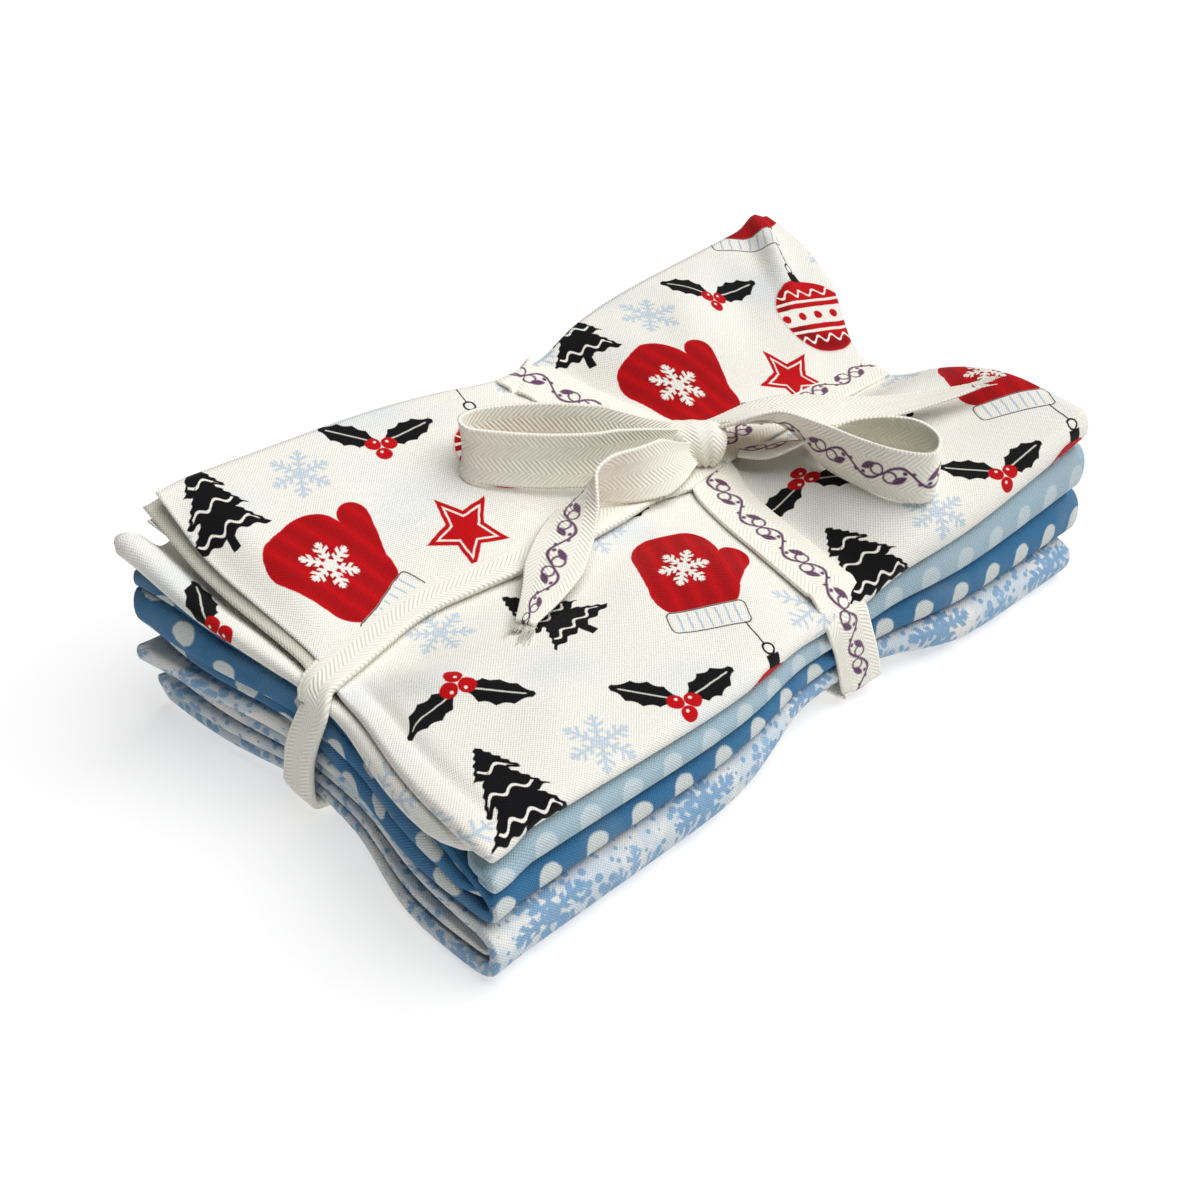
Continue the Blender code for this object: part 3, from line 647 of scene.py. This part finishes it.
def cross_strap():
    """The strap across the bundle: from the knot over the front face, under it and up the back."""
    front = [over_cloth(at(CROSS_STRAP, y), y) for y in range(8, -58, -3)]
    down = [(x, y, z, width) for z, x, y, width in CROSS_FRONT]
    base = []
    start, slant, width = CROSS_BELOW
    for y in range(-57, 60, 3):
        # It hangs lower at the front, where it turns up, and passes below the long strap
        under = TAPE_OVER + 1.6 * step(-44, -60, y) + 1.2 * math.exp(-(((y - 5.5) / 13.0) ** 4))
        base.append(
            (start - (y + 57) * slant, y, level_height(0, at(CROSS_STRAP, y), y) - under, width)
        )
    up = [(*CROSS_BACK, z, TAPE_WIDTH) for z in (8, 18, 28, 38, 47, 55)]
    back = []
    for y in range(66, 8, -3):
        x, _, z, width = over_cloth(at(CROSS_STRAP, y), y, -0.9 * step(56, 66, y))
        back.append((x, drawn_in(x, y)[1], z, width))
    rows = smooth_rows(joined(front, down, base, up, back), 3)
    across = np.tile((1.0, 0.0, 0.0), (len(rows), 1))
    # It leans a little where it goes down the front, and tilts with the cloth on the way back up
    across[:, 1] = -0.22 * np.exp(-(((rows[:, 2] - 12.0) / 14.0) ** 2)) * (rows[:, 1] < -58)
    slope = (cloth_top(rows[:, 0] + 7, rows[:, 1]) - cloth_top(rows[:, 0] - 7, rows[:, 1])) / 14
    across[:, 2] = slope * step(14, 30, rows[:, 1]) * step(38, 48, rows[:, 2])
    return tape_mesh("strap_across", rows[:, :3], across, rows[:, 3], STRAP_CROWN)


def long_strap():
    """The strap along the bundle: from the knot over the left face, under it and up the right."""

    def top(x, *more):
        return over_cloth(x, at(LONG_STRAP, x), *more)

    left = [top(x, 1.15 * step(16, -6, x)) for x in range(28, -108, -4)]
    left += [top(-111.0, 1.0, 15.0), top(-114.5, -0.2, 14.5)]
    down = [(x, y, z, width * 1.4) for z, y, x, width in LONG_LEFT]
    base = [
        (x, 5.0 + 3.0 * step(-100, 100, x), level_height(0, x, 5.0) - TAPE_OVER, TAPE_WIDTH)
        for x in range(-112, 112, 8)
    ]
    up = [(*LONG_RIGHT, z, TAPE_WIDTH) for z in (8, 16, 24, 32, 39)]
    right = [top(x) for x in range(110, 28, -4)]
    rows = smooth_rows(joined(left, down, base, up, right), 3)
    across = np.tile((0.0, -1.0, 0.0), (len(rows), 1))
    # From the knot to the foot of the left face it is folded along one side
    x, z = rows[:, 0], rows[:, 2]
    on_left = (x < 20) & (np.arange(len(rows)) < len(rows) / 2) & ~((z < 4.4) & (x > -112))
    tucked = np.where(on_left, 0.29 * step(16, -2, x), 0.0)
    return tape_mesh("strap_along", rows[:, :3], across, rows[:, 3], STRAP_CROWN, tucked)


def knot():
    """The tape's wrap about the bow's middle, gathered into pleats and drawn in below."""
    rows = smooth_rows(KNOT_WRAP, 6)
    turn = np.radians(rows[:, 0])[:, None, None]
    half, shift, radius = (rows[:, i][:, None, None] for i in (1, 2, 3))
    upward = np.array((0.0, 0.0, 1.0))
    s = np.linspace(-1, 1, 25)[None, :, None]
    pleats = 0.32 * np.cos(s * math.pi * 3.5) * np.clip(8.5 - half, 1.0, 3.0) / 3.0
    out = radius - 1.6 * s**4 * half / 8 + pleats
    grid = np.array(KNOT_MIDDLE) + KNOT_ALONG * (shift + s * half)
    grid = grid + (upward * np.cos(turn) + KNOT_TOWARDS * np.sin(turn)) * out
    return tape_grid("knot_wrap", grid, grid[:, grid.shape[1] // 2])


def srgb(colour):
    """A hex sRGB colour as linear red, green and blue."""
    parts = [int(colour[i : i + 2], 16) / 255 for i in (0, 2, 4)]
    return tuple(c / 12.92 if c <= 0.04045 else ((c + 0.055) / 1.055) ** 2.4 for c in parts)


def rgba(colour):
    """A hex colour, or linear red, green and blue, with full cover."""
    return (*(srgb(colour) if isinstance(colour, str) else colour), 1.0)


def add_node(tree, kind, inputs=None, **settings):
    """Adds a shader node with its settings, and links or sets its inputs."""
    node = tree.nodes.new("ShaderNode" + kind)
    for key, value in settings.items():
        setattr(node, key, value)
    for key, value in (inputs or {}).items():
        if isinstance(value, bpy.types.NodeSocket):
            tree.links.new(value, node.inputs[key])
        else:
            node.inputs[key].default_value = value
    return node


class Pattern:
    """A cloth's print: colours laid over each other by formulas in millimetres, made into nodes."""

    SIGNS = {ast.Add: "ADD", ast.Sub: "SUBTRACT", ast.Mult: "MULTIPLY", ast.Div: "DIVIDE"}
    CALLS = {
        "abs": "ABSOLUTE", "floor": "FLOOR", "sin": "SINE", "cos": "COSINE", "min": "MINIMUM",
        "max": "MAXIMUM", "pingpong": "PINGPONG", "less": "LESS_THAN", "angle": "ARCTAN2",
        "wrap": "WRAP", "smooth_min": "SMOOTH_MIN",
    }

    def __init__(self, material, ground, wobble):
        """Reads the cloth's UV map, with its print wobbling by so many millimetres."""
        self.material, self.tree = material, material.node_tree
        self.colour = rgba(ground)
        self.made = {}
        uv = add_node(self.tree, "UVMap", uv_map="cloth").outputs["UV"]
        scaled = {0: uv, 1: (1 / MM, 1 / MM, 1 / MM)}
        self.place = add_node(
            self.tree, "VectorMath", scaled, operation="MULTIPLY"
        ).outputs["Vector"]
        flat = add_node(self.tree, "SeparateXYZ", {0: self.place}).outputs
        self.known = {"u": flat["X"], "v": flat["Y"], "pi": math.pi}
        if wobble:
            noise = self.noise(0.3, detail=2.0)
            self.let(wu=f"u + {wobble} * (n - 0.5)", wv=f"v - {wobble} * (n - 0.5)", n=noise)

    def noise(self, per_mm, detail=3.0):
        place = {"Vector": self.place, "Scale": per_mm, "Detail": detail}
        return add_node(self.tree, "TexNoise", place).outputs["Fac"]

    def let(self, **formulas):
        """Names the results of formulas, given as text, sockets or numbers."""
        texts = {k: f for k, f in formulas.items() if isinstance(f, str)}
        self.known.update({k: f for k, f in formulas.items() if k not in texts})
        for name, text in texts.items():
            self.known[name] = self.value(text)

    def value(self, text):
        return self.read(ast.parse(text).body[0].value)

    def read(self, part):
        if isinstance(part, ast.Constant):
            return float(part.value)
        if isinstance(part, ast.Name):
            return self.known[part.id]
        if isinstance(part, ast.UnaryOp):
            return self.math("MULTIPLY", self.read(part.operand), -1.0)
        if isinstance(part, ast.BinOp):
            return self.math(self.SIGNS[type(part.op)], self.read(part.left), self.read(part.right))
        values = [self.read(value) for value in part.args]
        if part.func.id == "length":
            flat = add_node(self.tree, "CombineXYZ", dict(enumerate(values))).outputs[0]
            length = add_node(self.tree, "VectorMath", {0: flat}, operation="LENGTH")
            return length.outputs["Value"]
        if part.func.id == "clamp":
            return self.math("ADD", values[0], 0.0, use_clamp=True)
        result = values[0]
        kind = self.CALLS[part.func.id]
        if kind in ("MINIMUM", "MAXIMUM"):
            for value in values[1:]:
                result = self.math(kind, result, value)
            return result
        return self.math(kind, *values)

    def math(self, kind, *values, **settings):
        """One step of a formula, made once for the same values."""
        key = (
            kind,
            tuple(v if isinstance(v, float) else v.as_pointer() for v in values),
            bool(settings),
        )
        if key not in self.made:
            node = add_node(self.tree, "Math", dict(enumerate(values)), operation=kind, **settings)
            self.made[key] = node.outputs[0]
        return self.made[key]

    def motif(self, across, along, turn, tile):
        """Sets x and y to places about one motif's middle, on each tile of the repeat."""
        c, s = math.cos(math.radians(turn)), math.sin(math.radians(turn))
        wide, high = tile[0] / 2, tile[1] / 2
        self.let(
            p=f"wrap(wu - {across}, {wide}, {-wide})", q=f"wrap(wv - {along}, {high}, {-high})"
        )
        self.let(x=f"p * {c} + q * {s}", y=f"q * {c} - p * {s}")

    def paint(self, colour, text, edge=0.3, strength=1.0):
        """Lays a colour over the print so far where the formula, a distance, is below zero."""
        cover = self.value(f"clamp(0.5 - ({text}) / {edge})")
        if strength != 1.0:
            cover = self.math("MULTIPLY", cover, strength)
        mix = {"Fac": cover, "Color1": self.colour, "Color2": rgba(colour)}
        self.colour = add_node(self.tree, "MixRGB", mix).outputs[0]

    def flake(self, size, half=0.5):
        """The outline of a six-armed snowflake about x and y: below zero inside."""
        self.let(r="length(x, y)", t="pingpong(angle(y, x), pi / 6)")
        self.let(ax="r * cos(t)", ay="r * sin(t)")
        arm = f"max(ay - {half}, ax - {size})"
        twigs = [
            f"max(abs((ax - {share * size}) * 0.866 - ay * 0.5) - {half * 0.9}, "
            f"ay - {reach * size})"
            for share, reach in ((0.34, 0.2), (0.58, 0.26), (0.8, 0.14))
        ]
        return (
            f"max(min({arm}, {', '.join(twigs)}, abs(r - {0.2 * size}) - {half * 0.8}), "
            f"r - {1.1 * size})"
        )


RED, DARK_RED, BLACK, WHITE = "C4050F", "7E040C", "0B0B0E", "F7F4EB"
FAINT_BLUE, SKY_BLUE = "BCCFDF", "7FA8CC"


def draw_mitten(pattern):
    """A red knitted mitten with a white cuff and a snowflake."""
    pattern.let(h="clamp(((x - 8) * 9 + (y + 6) * 12) / 225)")
    pattern.let(palm="length(max(abs(x) - 4.5, 0), max(abs(y - 2) - 8, 0)) - 8.5")
    pattern.let(thumb="length(x - 8 - 9 * h, y + 6 - 12 * h) - 4.6")
    pattern.let(hand="max(min(palm, thumb), -13.5 - y)")
    pattern.paint(RED, "hand")
    rib = "max(hand + 0.6, 0.55 - abs(sin(x * 0.5 + 0.4 * n)))"
    pattern.paint(DARK_RED, rib, edge=1.0, strength=0.5)
    pattern.let(cuff="length(max(abs(x) - 10, 0), max(abs(y + 16.5) - 2.2, 0)) - 1.8")
    pattern.paint(WHITE, "cuff")
    pattern.paint(BLACK, "max(abs(cuff + 0.2) - 0.22, -1 - hand)", strength=0.9)
    pattern.paint(FAINT_BLUE, "max(cuff + 0.8, abs(wrap(x, 1.4, -1.4)) - 0.3)")
    pattern.let(y="y - 3")
    pattern.paint(WHITE, pattern.flake(7.5))


def draw_bauble(pattern):
    """A red glass ball with a white band of dots and a black cap."""
    pattern.let(ball="length(x, y) - 14")
    pattern.paint(RED, "ball")
    pattern.paint(DARK_RED, "max(ball + 0.5, 13 - length(x - 4, y - 4))", edge=3.0, strength=0.75)
    pattern.paint(WHITE, "max(ball, min(abs(y) - 3.2, abs(abs(y) - 5.6) - 0.5))")
    pattern.paint(RED, "max(ball, length(wrap(x, 3.1, -3.1), y) - 1.5)")
    pattern.paint(WHITE, "max(ball, abs(abs(y) - 8.8 + 1.1 * sin(x * 1.2)) - 0.45)")
    cap = "min(max(abs(x) - 2.4, abs(y - 15.2) - 1.7), abs(length(x, y - 18.6) - 1.7) - 0.35)"
    pattern.paint(BLACK, f"min({cap}, max(abs(x) - 0.25, abs(y - 24.5) - 4.2))")


def draw_fir(pattern):
    """A black fir tree of three tiers with snow along them."""
    tiers = []
    pattern.let(ax="abs(x) + 0.25 * sin(y * 3.1)")
    for top, foot, half in ((15, 5, 6), (10, -3, 9), (3.5, -11, 12)):
        slope = half / (top - foot)
        tiers.append(f"max((ax - ({top} - y) * {slope}) * 0.8, {foot} - y - 0.5 * sin(x * 1.4))")
    pattern.let(tree=f"min({', '.join(tiers)}, max(abs(x) - 1.3, abs(y + 12.5) - 2.2))")
    pattern.paint(BLACK, "tree")
    snow = ", ".join(f"abs(y - {line} - 0.9 * sin(x * 1.1)) - 0.42" for line in (7.0, -0.4, -8.2))
    pattern.paint(WHITE, f"max(tree + 0.9, min({snow}))")


def draw_holly(pattern):
    """Two dark leaves with three red berries."""
    pattern.let(ax="abs(x)")
    pattern.let(p="ax * 0.9 + y * 0.44 - 9.5", q="abs(y * 0.9 - ax * 0.44)")
    pattern.let(leaf="length(p, q + 8) - 12.4 + 0.8 * abs(sin(p * 0.75))")
    pattern.paint(BLACK, "leaf")
    pattern.paint(WHITE, "max(leaf + 1.2, q - 0.22)", strength=0.8)
    pattern.paint(RED, "min(length(ax - 2.3, y) - 2.3, length(x, y + 3.9) - 2.3)")
    pattern.paint(WHITE, "min(length(ax - 1.8, y - 0.8), length(x + 0.4, y + 3.2)) - 0.45")


def draw_star(pattern):
    """A five-pointed red star with a white line inside its edge."""
    pattern.let(r="length(x, y)", t="pingpong(angle(x, y), pi / 5)")
    pattern.let(star="(r * cos(t) - 12.5) * 0.4 + r * sin(t) * 0.917")
    pattern.paint(RED, "star")
    pattern.paint(WHITE, "abs(star + 1.5) - 0.28")


# The tile of the winter print, and its motifs: where each lies across and along it, and its turn in
# degrees. A snowflake's size comes last
WINTER_TILE = (132.0, 120.0)
FLAKES = ((122, 7, 5, 13), (38, 67, 20, 9), (96, 71, 12, 11), (38, 9, 0, 9))
MOTIFS = (
    (draw_mitten, (28, 97, 24), (100, 37, -30)),
    (draw_bauble, (92, 107, -12)),
    (draw_fir, (62, 53, 12), (12, 11, -10)),
    (draw_holly, (124, 71, 40), (64, 7, -25), (24, 43, 160)),
    (draw_star, (66, 91, 10)),
)
# The tile of the bottom cloth's print, and its snowflakes: across, along, turn, size, colour
LACE_TILE = (52.0, 42.0)
LACE_FLAKES = (
    (12, 3, 8, 11.5, SKY_BLUE), (38, -4, 22, 9.5, "92B6D6"),
    (38, 19, 0, 6.5, SKY_BLUE), (12, -19, 14, 5.5, "A3C1DB"),
)


def cotton(name, ground, wobble=0.0, roughness=0.85, sheen=0.06):
    """A new matt cotton: its fibres scatter light softly and shine a little at grazing angles."""
    material = bpy.data.materials.new(name)
    material.use_nodes = True
    shader = material.node_tree.nodes["Principled BSDF"].inputs
    shader["Roughness"].default_value = roughness
    shader["Sheen Weight"].default_value = sheen
    shader["Sheen Roughness"].default_value = 0.5
    shader["Specular IOR Level"].default_value = 0.12
    return Pattern(material, ground, wobble)


def raise_threads(pattern, shade, height, metres, strength):
    """Ends a material: one formula paints shade between the threads onto the print, and another
    raises the threads.
    """
    mix = {"Fac": 1.0, "Color1": pattern.colour, "Color2": pattern.value(shade)}
    woven_with_painted_shade = add_node(pattern.tree, "MixRGB", mix, blend_type="MULTIPLY").outputs[0]
    bump = {"Height": pattern.value(height), "Distance": metres, "Strength": strength}
    normal = add_node(pattern.tree, "Bump", bump).outputs["Normal"]
    shader = pattern.tree.nodes["Principled BSDF"].inputs
    pattern.tree.links.new(woven_with_painted_shade, shader["Base Color"])
    pattern.tree.links.new(normal, shader["Normal"])
    return pattern.material


def weave(pattern, depth=0.5):
    """Gives a cloth its plain weave, in height and as painted shade in the gaps between its
    threads, with some tone that differs at random.

    Threads 0.39 mm apart are too fine to show, so each pair of them is drawn as one.
    """
    pair = 2 * math.pi / 0.86
    pattern.let(gap=pattern.noise(0.9, detail=2.0), uneven=pattern.noise(1.6, detail=1.0))
    pattern.let(thread=f"0.5 + 0.5 * sin(u * {pair} + gap) * sin(v * {pair} - gap)")
    # Painted shade between the threads, and random uneven tone
    shade = "0.76 + 0.29 * thread + 0.26 * (uneven - 0.5)"
    return raise_threads(pattern, shade, "thread", 0.00025, depth)


def plain_cotton(name, colour):
    """The unprinted side of a woven cotton: the same threads with no ink on them."""
    pattern = cotton(name, colour)
    return weave(pattern)


def winter_cotton(name):
    """Bleached quilting cotton, screen printed: flat inks sit in the weave, with soft edges."""
    pattern = cotton(name, WHITE, wobble=0.6)
    pattern.let(cloud=pattern.noise(0.022, detail=2.0))
    pattern.paint("D9E4EC", "(0.6 - cloud) * 10", edge=1.6, strength=0.5)
    for *place, size in FLAKES:
        pattern.motif(*place, WINTER_TILE)
        pattern.paint(FAINT_BLUE, pattern.flake(size), edge=0.5, strength=0.8)
    for draw, *places in MOTIFS:
        for place in places:
            pattern.motif(*place, WINTER_TILE)
            draw(pattern)
    return weave(pattern)


def dotted_cotton(name, ground, dots, apart, size, start):
    """Quilting cotton with staggered rows of round dots, a little uneven as hand-cut dots are."""
    pattern = cotton(name, ground, wobble=1.5)
    wide, high = apart / 2, apart * 0.86
    pattern.let(
        p=f"wrap(wu, {wide}, {-wide})", q=f"wrap(wv - {start}, {high}, {-high})",
        r=f"wrap(wu - {wide}, {wide}, {-wide})", s=f"wrap(wv - {start} - {high}, {high}, {-high})",
        cloud=pattern.noise(0.05),
    )
    pattern.paint(dots, "(0.62 - cloud) * 6", edge=1.8, strength=0.14)
    pattern.paint(dots, f"min(length(p, q), length(r, s)) - {size / 2} + 0.9 * (n - 0.5)", edge=0.6)
    return weave(pattern, depth=0.7)


def flake_cotton(name):
    """White quilting cotton printed in soft blues with brushed snowflakes and scattered flecks."""
    pattern = cotton(name, "F1EFEA", wobble=1.4)
    pattern.let(cloud=pattern.noise(0.06), brush=pattern.noise(0.5))
    pattern.paint("BBD0E1", "(0.44 - cloud) * 12 + 2 * (brush - 0.5)", edge=1.5, strength=0.6)
    for *place, size, tint in LACE_FLAKES:
        pattern.motif(*place, LACE_TILE)
        petals = f"{pattern.flake(size, 0.075 * size)} + 1.1 * (brush - 0.5)"
        pattern.paint(tint, petals, edge=0.5, strength=0.92)
    cells = {"Vector": pattern.place, "Scale": 0.3, "Randomness": 1.0}
    cells = add_node(pattern.tree, "TexVoronoi", cells, voronoi_dimensions="2D")
    pattern.let(fleck=cells.outputs["Distance"])
    pattern.paint(SKY_BLUE, "fleck * 3.3 - 0.75 + 5 * (0.5 - cloud)", edge=0.4, strength=0.85)
    return weave(pattern)


def cotton_tape(name, colour, ink=None):
    """Herringbone cotton tape: soft raised ribs slanting to and fro, with a firm edge on each side.

    With ink it also has a running scroll with leaves and berries, printed in one colour.
    """
    pattern = cotton(name, colour, wobble=0.5, roughness=0.9, sheen=0.25)
    pattern.let(rib=f"sin((u + pingpong(v + 8, 4)) * {2 * math.pi / 1.5})")
    pattern.let(edge="clamp((abs(v) - 7) * 2)")
    pattern.let(height="(0.5 + 0.5 * rib) * (1 - edge) + edge * (0.6 + 0.4 * sin(u * 6))")
    if ink:
        pattern.let(x="wrap(wu, 9, -9)", y="wv")
        pattern.let(stem="abs(y - 2.8 * sin(wu * 0.3491)) - 0.5", side="less(0, x) * 2 - 1")
        pattern.let(a="abs(x) - 4.5", b="y * side + 1.2")
        pattern.let(leaf="length(a * 0.8 + b * 0.6, abs(b * 0.8 - a * 0.6) + 2.2) - 3.3")
        pattern.let(curl="abs(length(a + 2.6, b - 0.4) - 1.8) - 0.36")
        pattern.let(berry="length(abs(a - 2.4) - 1.1, b - 2.6) - 0.65")
        pattern.paint(ink, "min(stem, leaf, curl, berry)", edge=0.5, strength=0.95)
    # The colour is darker where the ribs are low: painted shade in the grooves between them
    return raise_threads(pattern, "0.9 + 0.12 * height", "height", 0.00035, 0.55)


class ClothSettings(bpy.types.PropertyGroup):
    """Sizes and colours of the folded quarters"""

    thickness: bpy.props.FloatProperty(
        name="Cloth thickness", description="Of one layer of cotton", default=0.00035, unit="LENGTH"
    )
    mid_blue: bpy.props.FloatVectorProperty(
        name="Mid blue", description="Ground of the dotted blue", subtype="COLOR",
        default=srgb("3F78A3"),
    )
    pale_blue: bpy.props.FloatVectorProperty(
        name="Pale blue", description="Ground of the pale dots", subtype="COLOR",
        default=srgb("A9C3D0"),
    )


class TapeSettings(bpy.types.PropertyGroup):
    """Colours of the cotton tape"""

    cream: bpy.props.FloatVectorProperty(
        name="Tape", description="Colour of the undyed tape", subtype="COLOR",
        default=srgb("FDF9EC"),
    )
    ink: bpy.props.FloatVectorProperty(
        name="Ink", description="Colour of the tape's scroll", subtype="COLOR",
        default=srgb("561B58"),
    )


class StageSettings(bpy.types.PropertyGroup):
    """The studio light"""

    key_power: bpy.props.FloatProperty(
        name="Key light", description="Its strength in watts a square metre", default=3.4
    )
    sky: bpy.props.FloatProperty(
        name="Sky", description="Strength of the light all round", default=0.1
    )


QUARTERS = {
    # name: (level, rows across the top, rows across each inner layer, columns)
    "lace": (0, 60, 24, 84),
    "mid_blue": (1, 60, 24, 84),
    "pale_blue": (2, 60, 24, 84),
    "winter": (3, 84, 26, 104),
}


class BUNDLE_OT_quarters(bpy.types.Operator):
    """Fold the four fat quarters and stack them"""

    bl_idname = "bundle.quarters"
    bl_label = "Folded quarters"

    def execute(self, context):
        settings = context.scene.bundle_cloth
        pale = dotted_cotton(
            "pale_dotted_cotton", settings.pale_blue, "CBD9DE", 13.5, size=6.6, start=0.4
        )
        blue = dotted_cotton(
            "blue_dotted_cotton", settings.mid_blue, "D9DFDD", 14.6, size=6.8, start=0.0
        )
        finishes = {
            # name: (printed side, colour of the wrong side)
            # The winter cloth's wrong side is its own unprinted white darkened with painted shade,
            # for the inside of its open fold
            "winter": (winter_cotton("printed_winter_cotton"), "DEDACB"),
            "pale_blue": (pale, "D5E0E5"),
            "mid_blue": (blue, "7FA3BF"),
            "lace": (flake_cotton("snowflake_cotton"), "E4E8EB"),
        }
        for name, sizes in QUARTERS.items():
            piece = folded_quarter(name, *sizes)
            finish, wrong_side = finishes[name]
            piece.data.materials.append(finish)
            # For the winter cloth this wrong side holds painted shade as well as its own colour
            piece.data.materials.append(plain_cotton(name + "_wrong_side", wrong_side))
            thicken(piece, settings.thickness)
            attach(piece, "root")
            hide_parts("cloth_" + name)
        return {"FINISHED"}


def make_tape(settings):
    """The tape's printed and plain sides, made once."""
    if "plain_tape" not in bpy.data.materials:
        cotton_tape("printed_tape", settings.cream, settings.ink)
        cotton_tape("plain_tape", settings.cream)


class BUNDLE_OT_straps(bpy.types.Operator):
    """Run the two straps of tape round the stack"""

    bl_idname = "bundle.straps"
    bl_label = "Straps"

    def execute(self, context):
        make_tape(context.scene.bundle_tape)
        piece, run = cross_strap()
        finish_tape(piece, "strap_cross", (0.0, run[-1]))
        piece, run = long_strap()
        finish_tape(piece, "strap_long", (run[-1] * 0.5, run[-1]))
        return {"FINISHED"}


class BUNDLE_OT_bow(bpy.types.Operator):
    """Tie the bow: its two loops, its two free ends and the knot's wrap"""

    bl_idname = "bundle.bow"
    bl_label = "Bow"

    def execute(self, context):
        make_tape(context.scene.bundle_tape)
        for name, node, table, taper, printed in (
            ("loop_left", "bow_left", LEFT_LOOP, None, (0.0, 22.0)),
            ("loop_right", "bow_right", RIGHT_LOOP, None, (8.0, 200.0)),
            ("end_front", "tail_front", TAIL_FRONT, (0.8, 0.3), ALL_PRINT),
            ("end_right", "tail_right", TAIL_RIGHT, (0.4, 0.18), NO_PRINT),
        ):
            piece, run = bow_run(name, table, taper)
            fringe = []
            if taper:
                width = TAPE_WIDTH * taper[1] * 1.2
                fringe = [frayed_end(name + "_threads", table, width, seed=len(name))]
            finish_tape(piece, node, printed)
        piece, run = knot()
        finish_tape(piece, "knot", NO_PRINT)
        return {"FINISHED"}


class BUNDLE_OT_stage(bpy.types.Operator):
    """Set the floor, the camera and the studio light"""

    bl_idname = "bundle.stage"
    bl_label = "Stage"

    def execute(self, context):
        settings = context.scene.bundle_stage
        bpy.ops.object.select_all(action="DESELECT")
        bpy.ops.mesh.primitive_plane_add(size=60.0)
        floor = context.object
        floor.name = "floor"
        # White paper that glows a little, so that shadows on it stay as faint as in a lit studio
        paper = bpy.data.materials.new("white_paper")
        paper.use_nodes = True
        for name, value in {
            "Base Color": (0.45, 0.45, 0.45, 1.0),
            "Roughness": 1.0,
            "Specular IOR Level": 0.0,
            "Emission Color": (1.0, 1.0, 1.0, 1.0),
            "Emission Strength": 0.55,
        }.items():
            paper.node_tree.nodes["Principled BSDF"].inputs[name].default_value = value
        floor.data.materials.append(paper)

        turn, tilt = (math.radians(angle) for angle in CAMERA_TURN_AND_TILT)
        back = Vector(
            (math.sin(turn) * math.cos(tilt), -math.cos(turn) * math.cos(tilt), math.sin(tilt))
        )
        bpy.ops.object.camera_add(rotation=back.to_track_quat("Z", "Y").to_euler())
        camera = context.object
        camera.location = (Vector(CAMERA_PLACE) + Vector(TO_CENTRE)) * MM
        camera.data.lens, camera.data.sensor_width = CAMERA_LENS_AND_SENSOR
        context.scene.camera = camera

        world = bpy.data.worlds.new("studio")
        context.scene.world = world
        world.use_nodes = True
        sky = world.node_tree.nodes["Background"].inputs
        sky["Color"].default_value = (1.0, 1.0, 1.0, 1.0)
        # The sky lights the bundle softly, but past the floor's far edge it looks white, as the
        # floor does
        seen = add_node(world.node_tree, "LightPath").outputs["Is Camera Ray"]
        strength = {0: seen, 1: settings.sky}
        strength = add_node(world.node_tree, "Math", strength, operation="MAXIMUM").outputs[0]
        world.node_tree.links.new(strength, sky["Strength"])
        place = Vector(KEY_PLACE)
        bpy.ops.object.light_add(type="SUN", location=place)
        lamp = context.object
        lamp.name = "key"
        lamp.data.energy, lamp.data.angle = settings.key_power, math.radians(KEY_ANGLE)
        lamp.rotation_euler = place.to_track_quat("Z", "Y").to_euler()
        context.scene.view_settings.view_transform = "Standard"
        return {"FINISHED"}


OPERATORS = (BUNDLE_OT_quarters, BUNDLE_OT_straps, BUNDLE_OT_bow, BUNDLE_OT_stage)


class BUNDLE_PT_panel(bpy.types.Panel):
    """Lists the bundle's pieces"""

    bl_label = "Fat quarter bundle"
    bl_idname = "BUNDLE_PT_panel"
    bl_space_type = "VIEW_3D"
    bl_region_type = "UI"
    bl_category = "Bundle"

    def draw(self, context):
        scene = context.scene
        for settings in (scene.bundle_cloth, scene.bundle_tape, scene.bundle_stage):
            for name in settings.__annotations__:
                self.layout.prop(settings, name)
        for operator in OPERATORS:
            self.layout.operator(operator.bl_idname)


CLASSES = (ClothSettings, TapeSettings, StageSettings, *OPERATORS, BUNDLE_PT_panel)


def register():
    for each in CLASSES:
        bpy.utils.register_class(each)
    bpy.types.Scene.bundle_cloth = bpy.props.PointerProperty(type=ClothSettings)
    bpy.types.Scene.bundle_tape = bpy.props.PointerProperty(type=TapeSettings)
    bpy.types.Scene.bundle_stage = bpy.props.PointerProperty(type=StageSettings)


def unregister():
    del bpy.types.Scene.bundle_cloth, bpy.types.Scene.bundle_tape, bpy.types.Scene.bundle_stage
    for each in reversed(CLASSES):
        bpy.utils.unregister_class(each)


def main():
    register()
    bpy.ops.object.select_all(action="DESELECT")
    for operator in OPERATORS:
        group, name = operator.bl_idname.split(".")
        getattr(getattr(bpy.ops, group), name)()


if __name__ == "__main__":
    main()
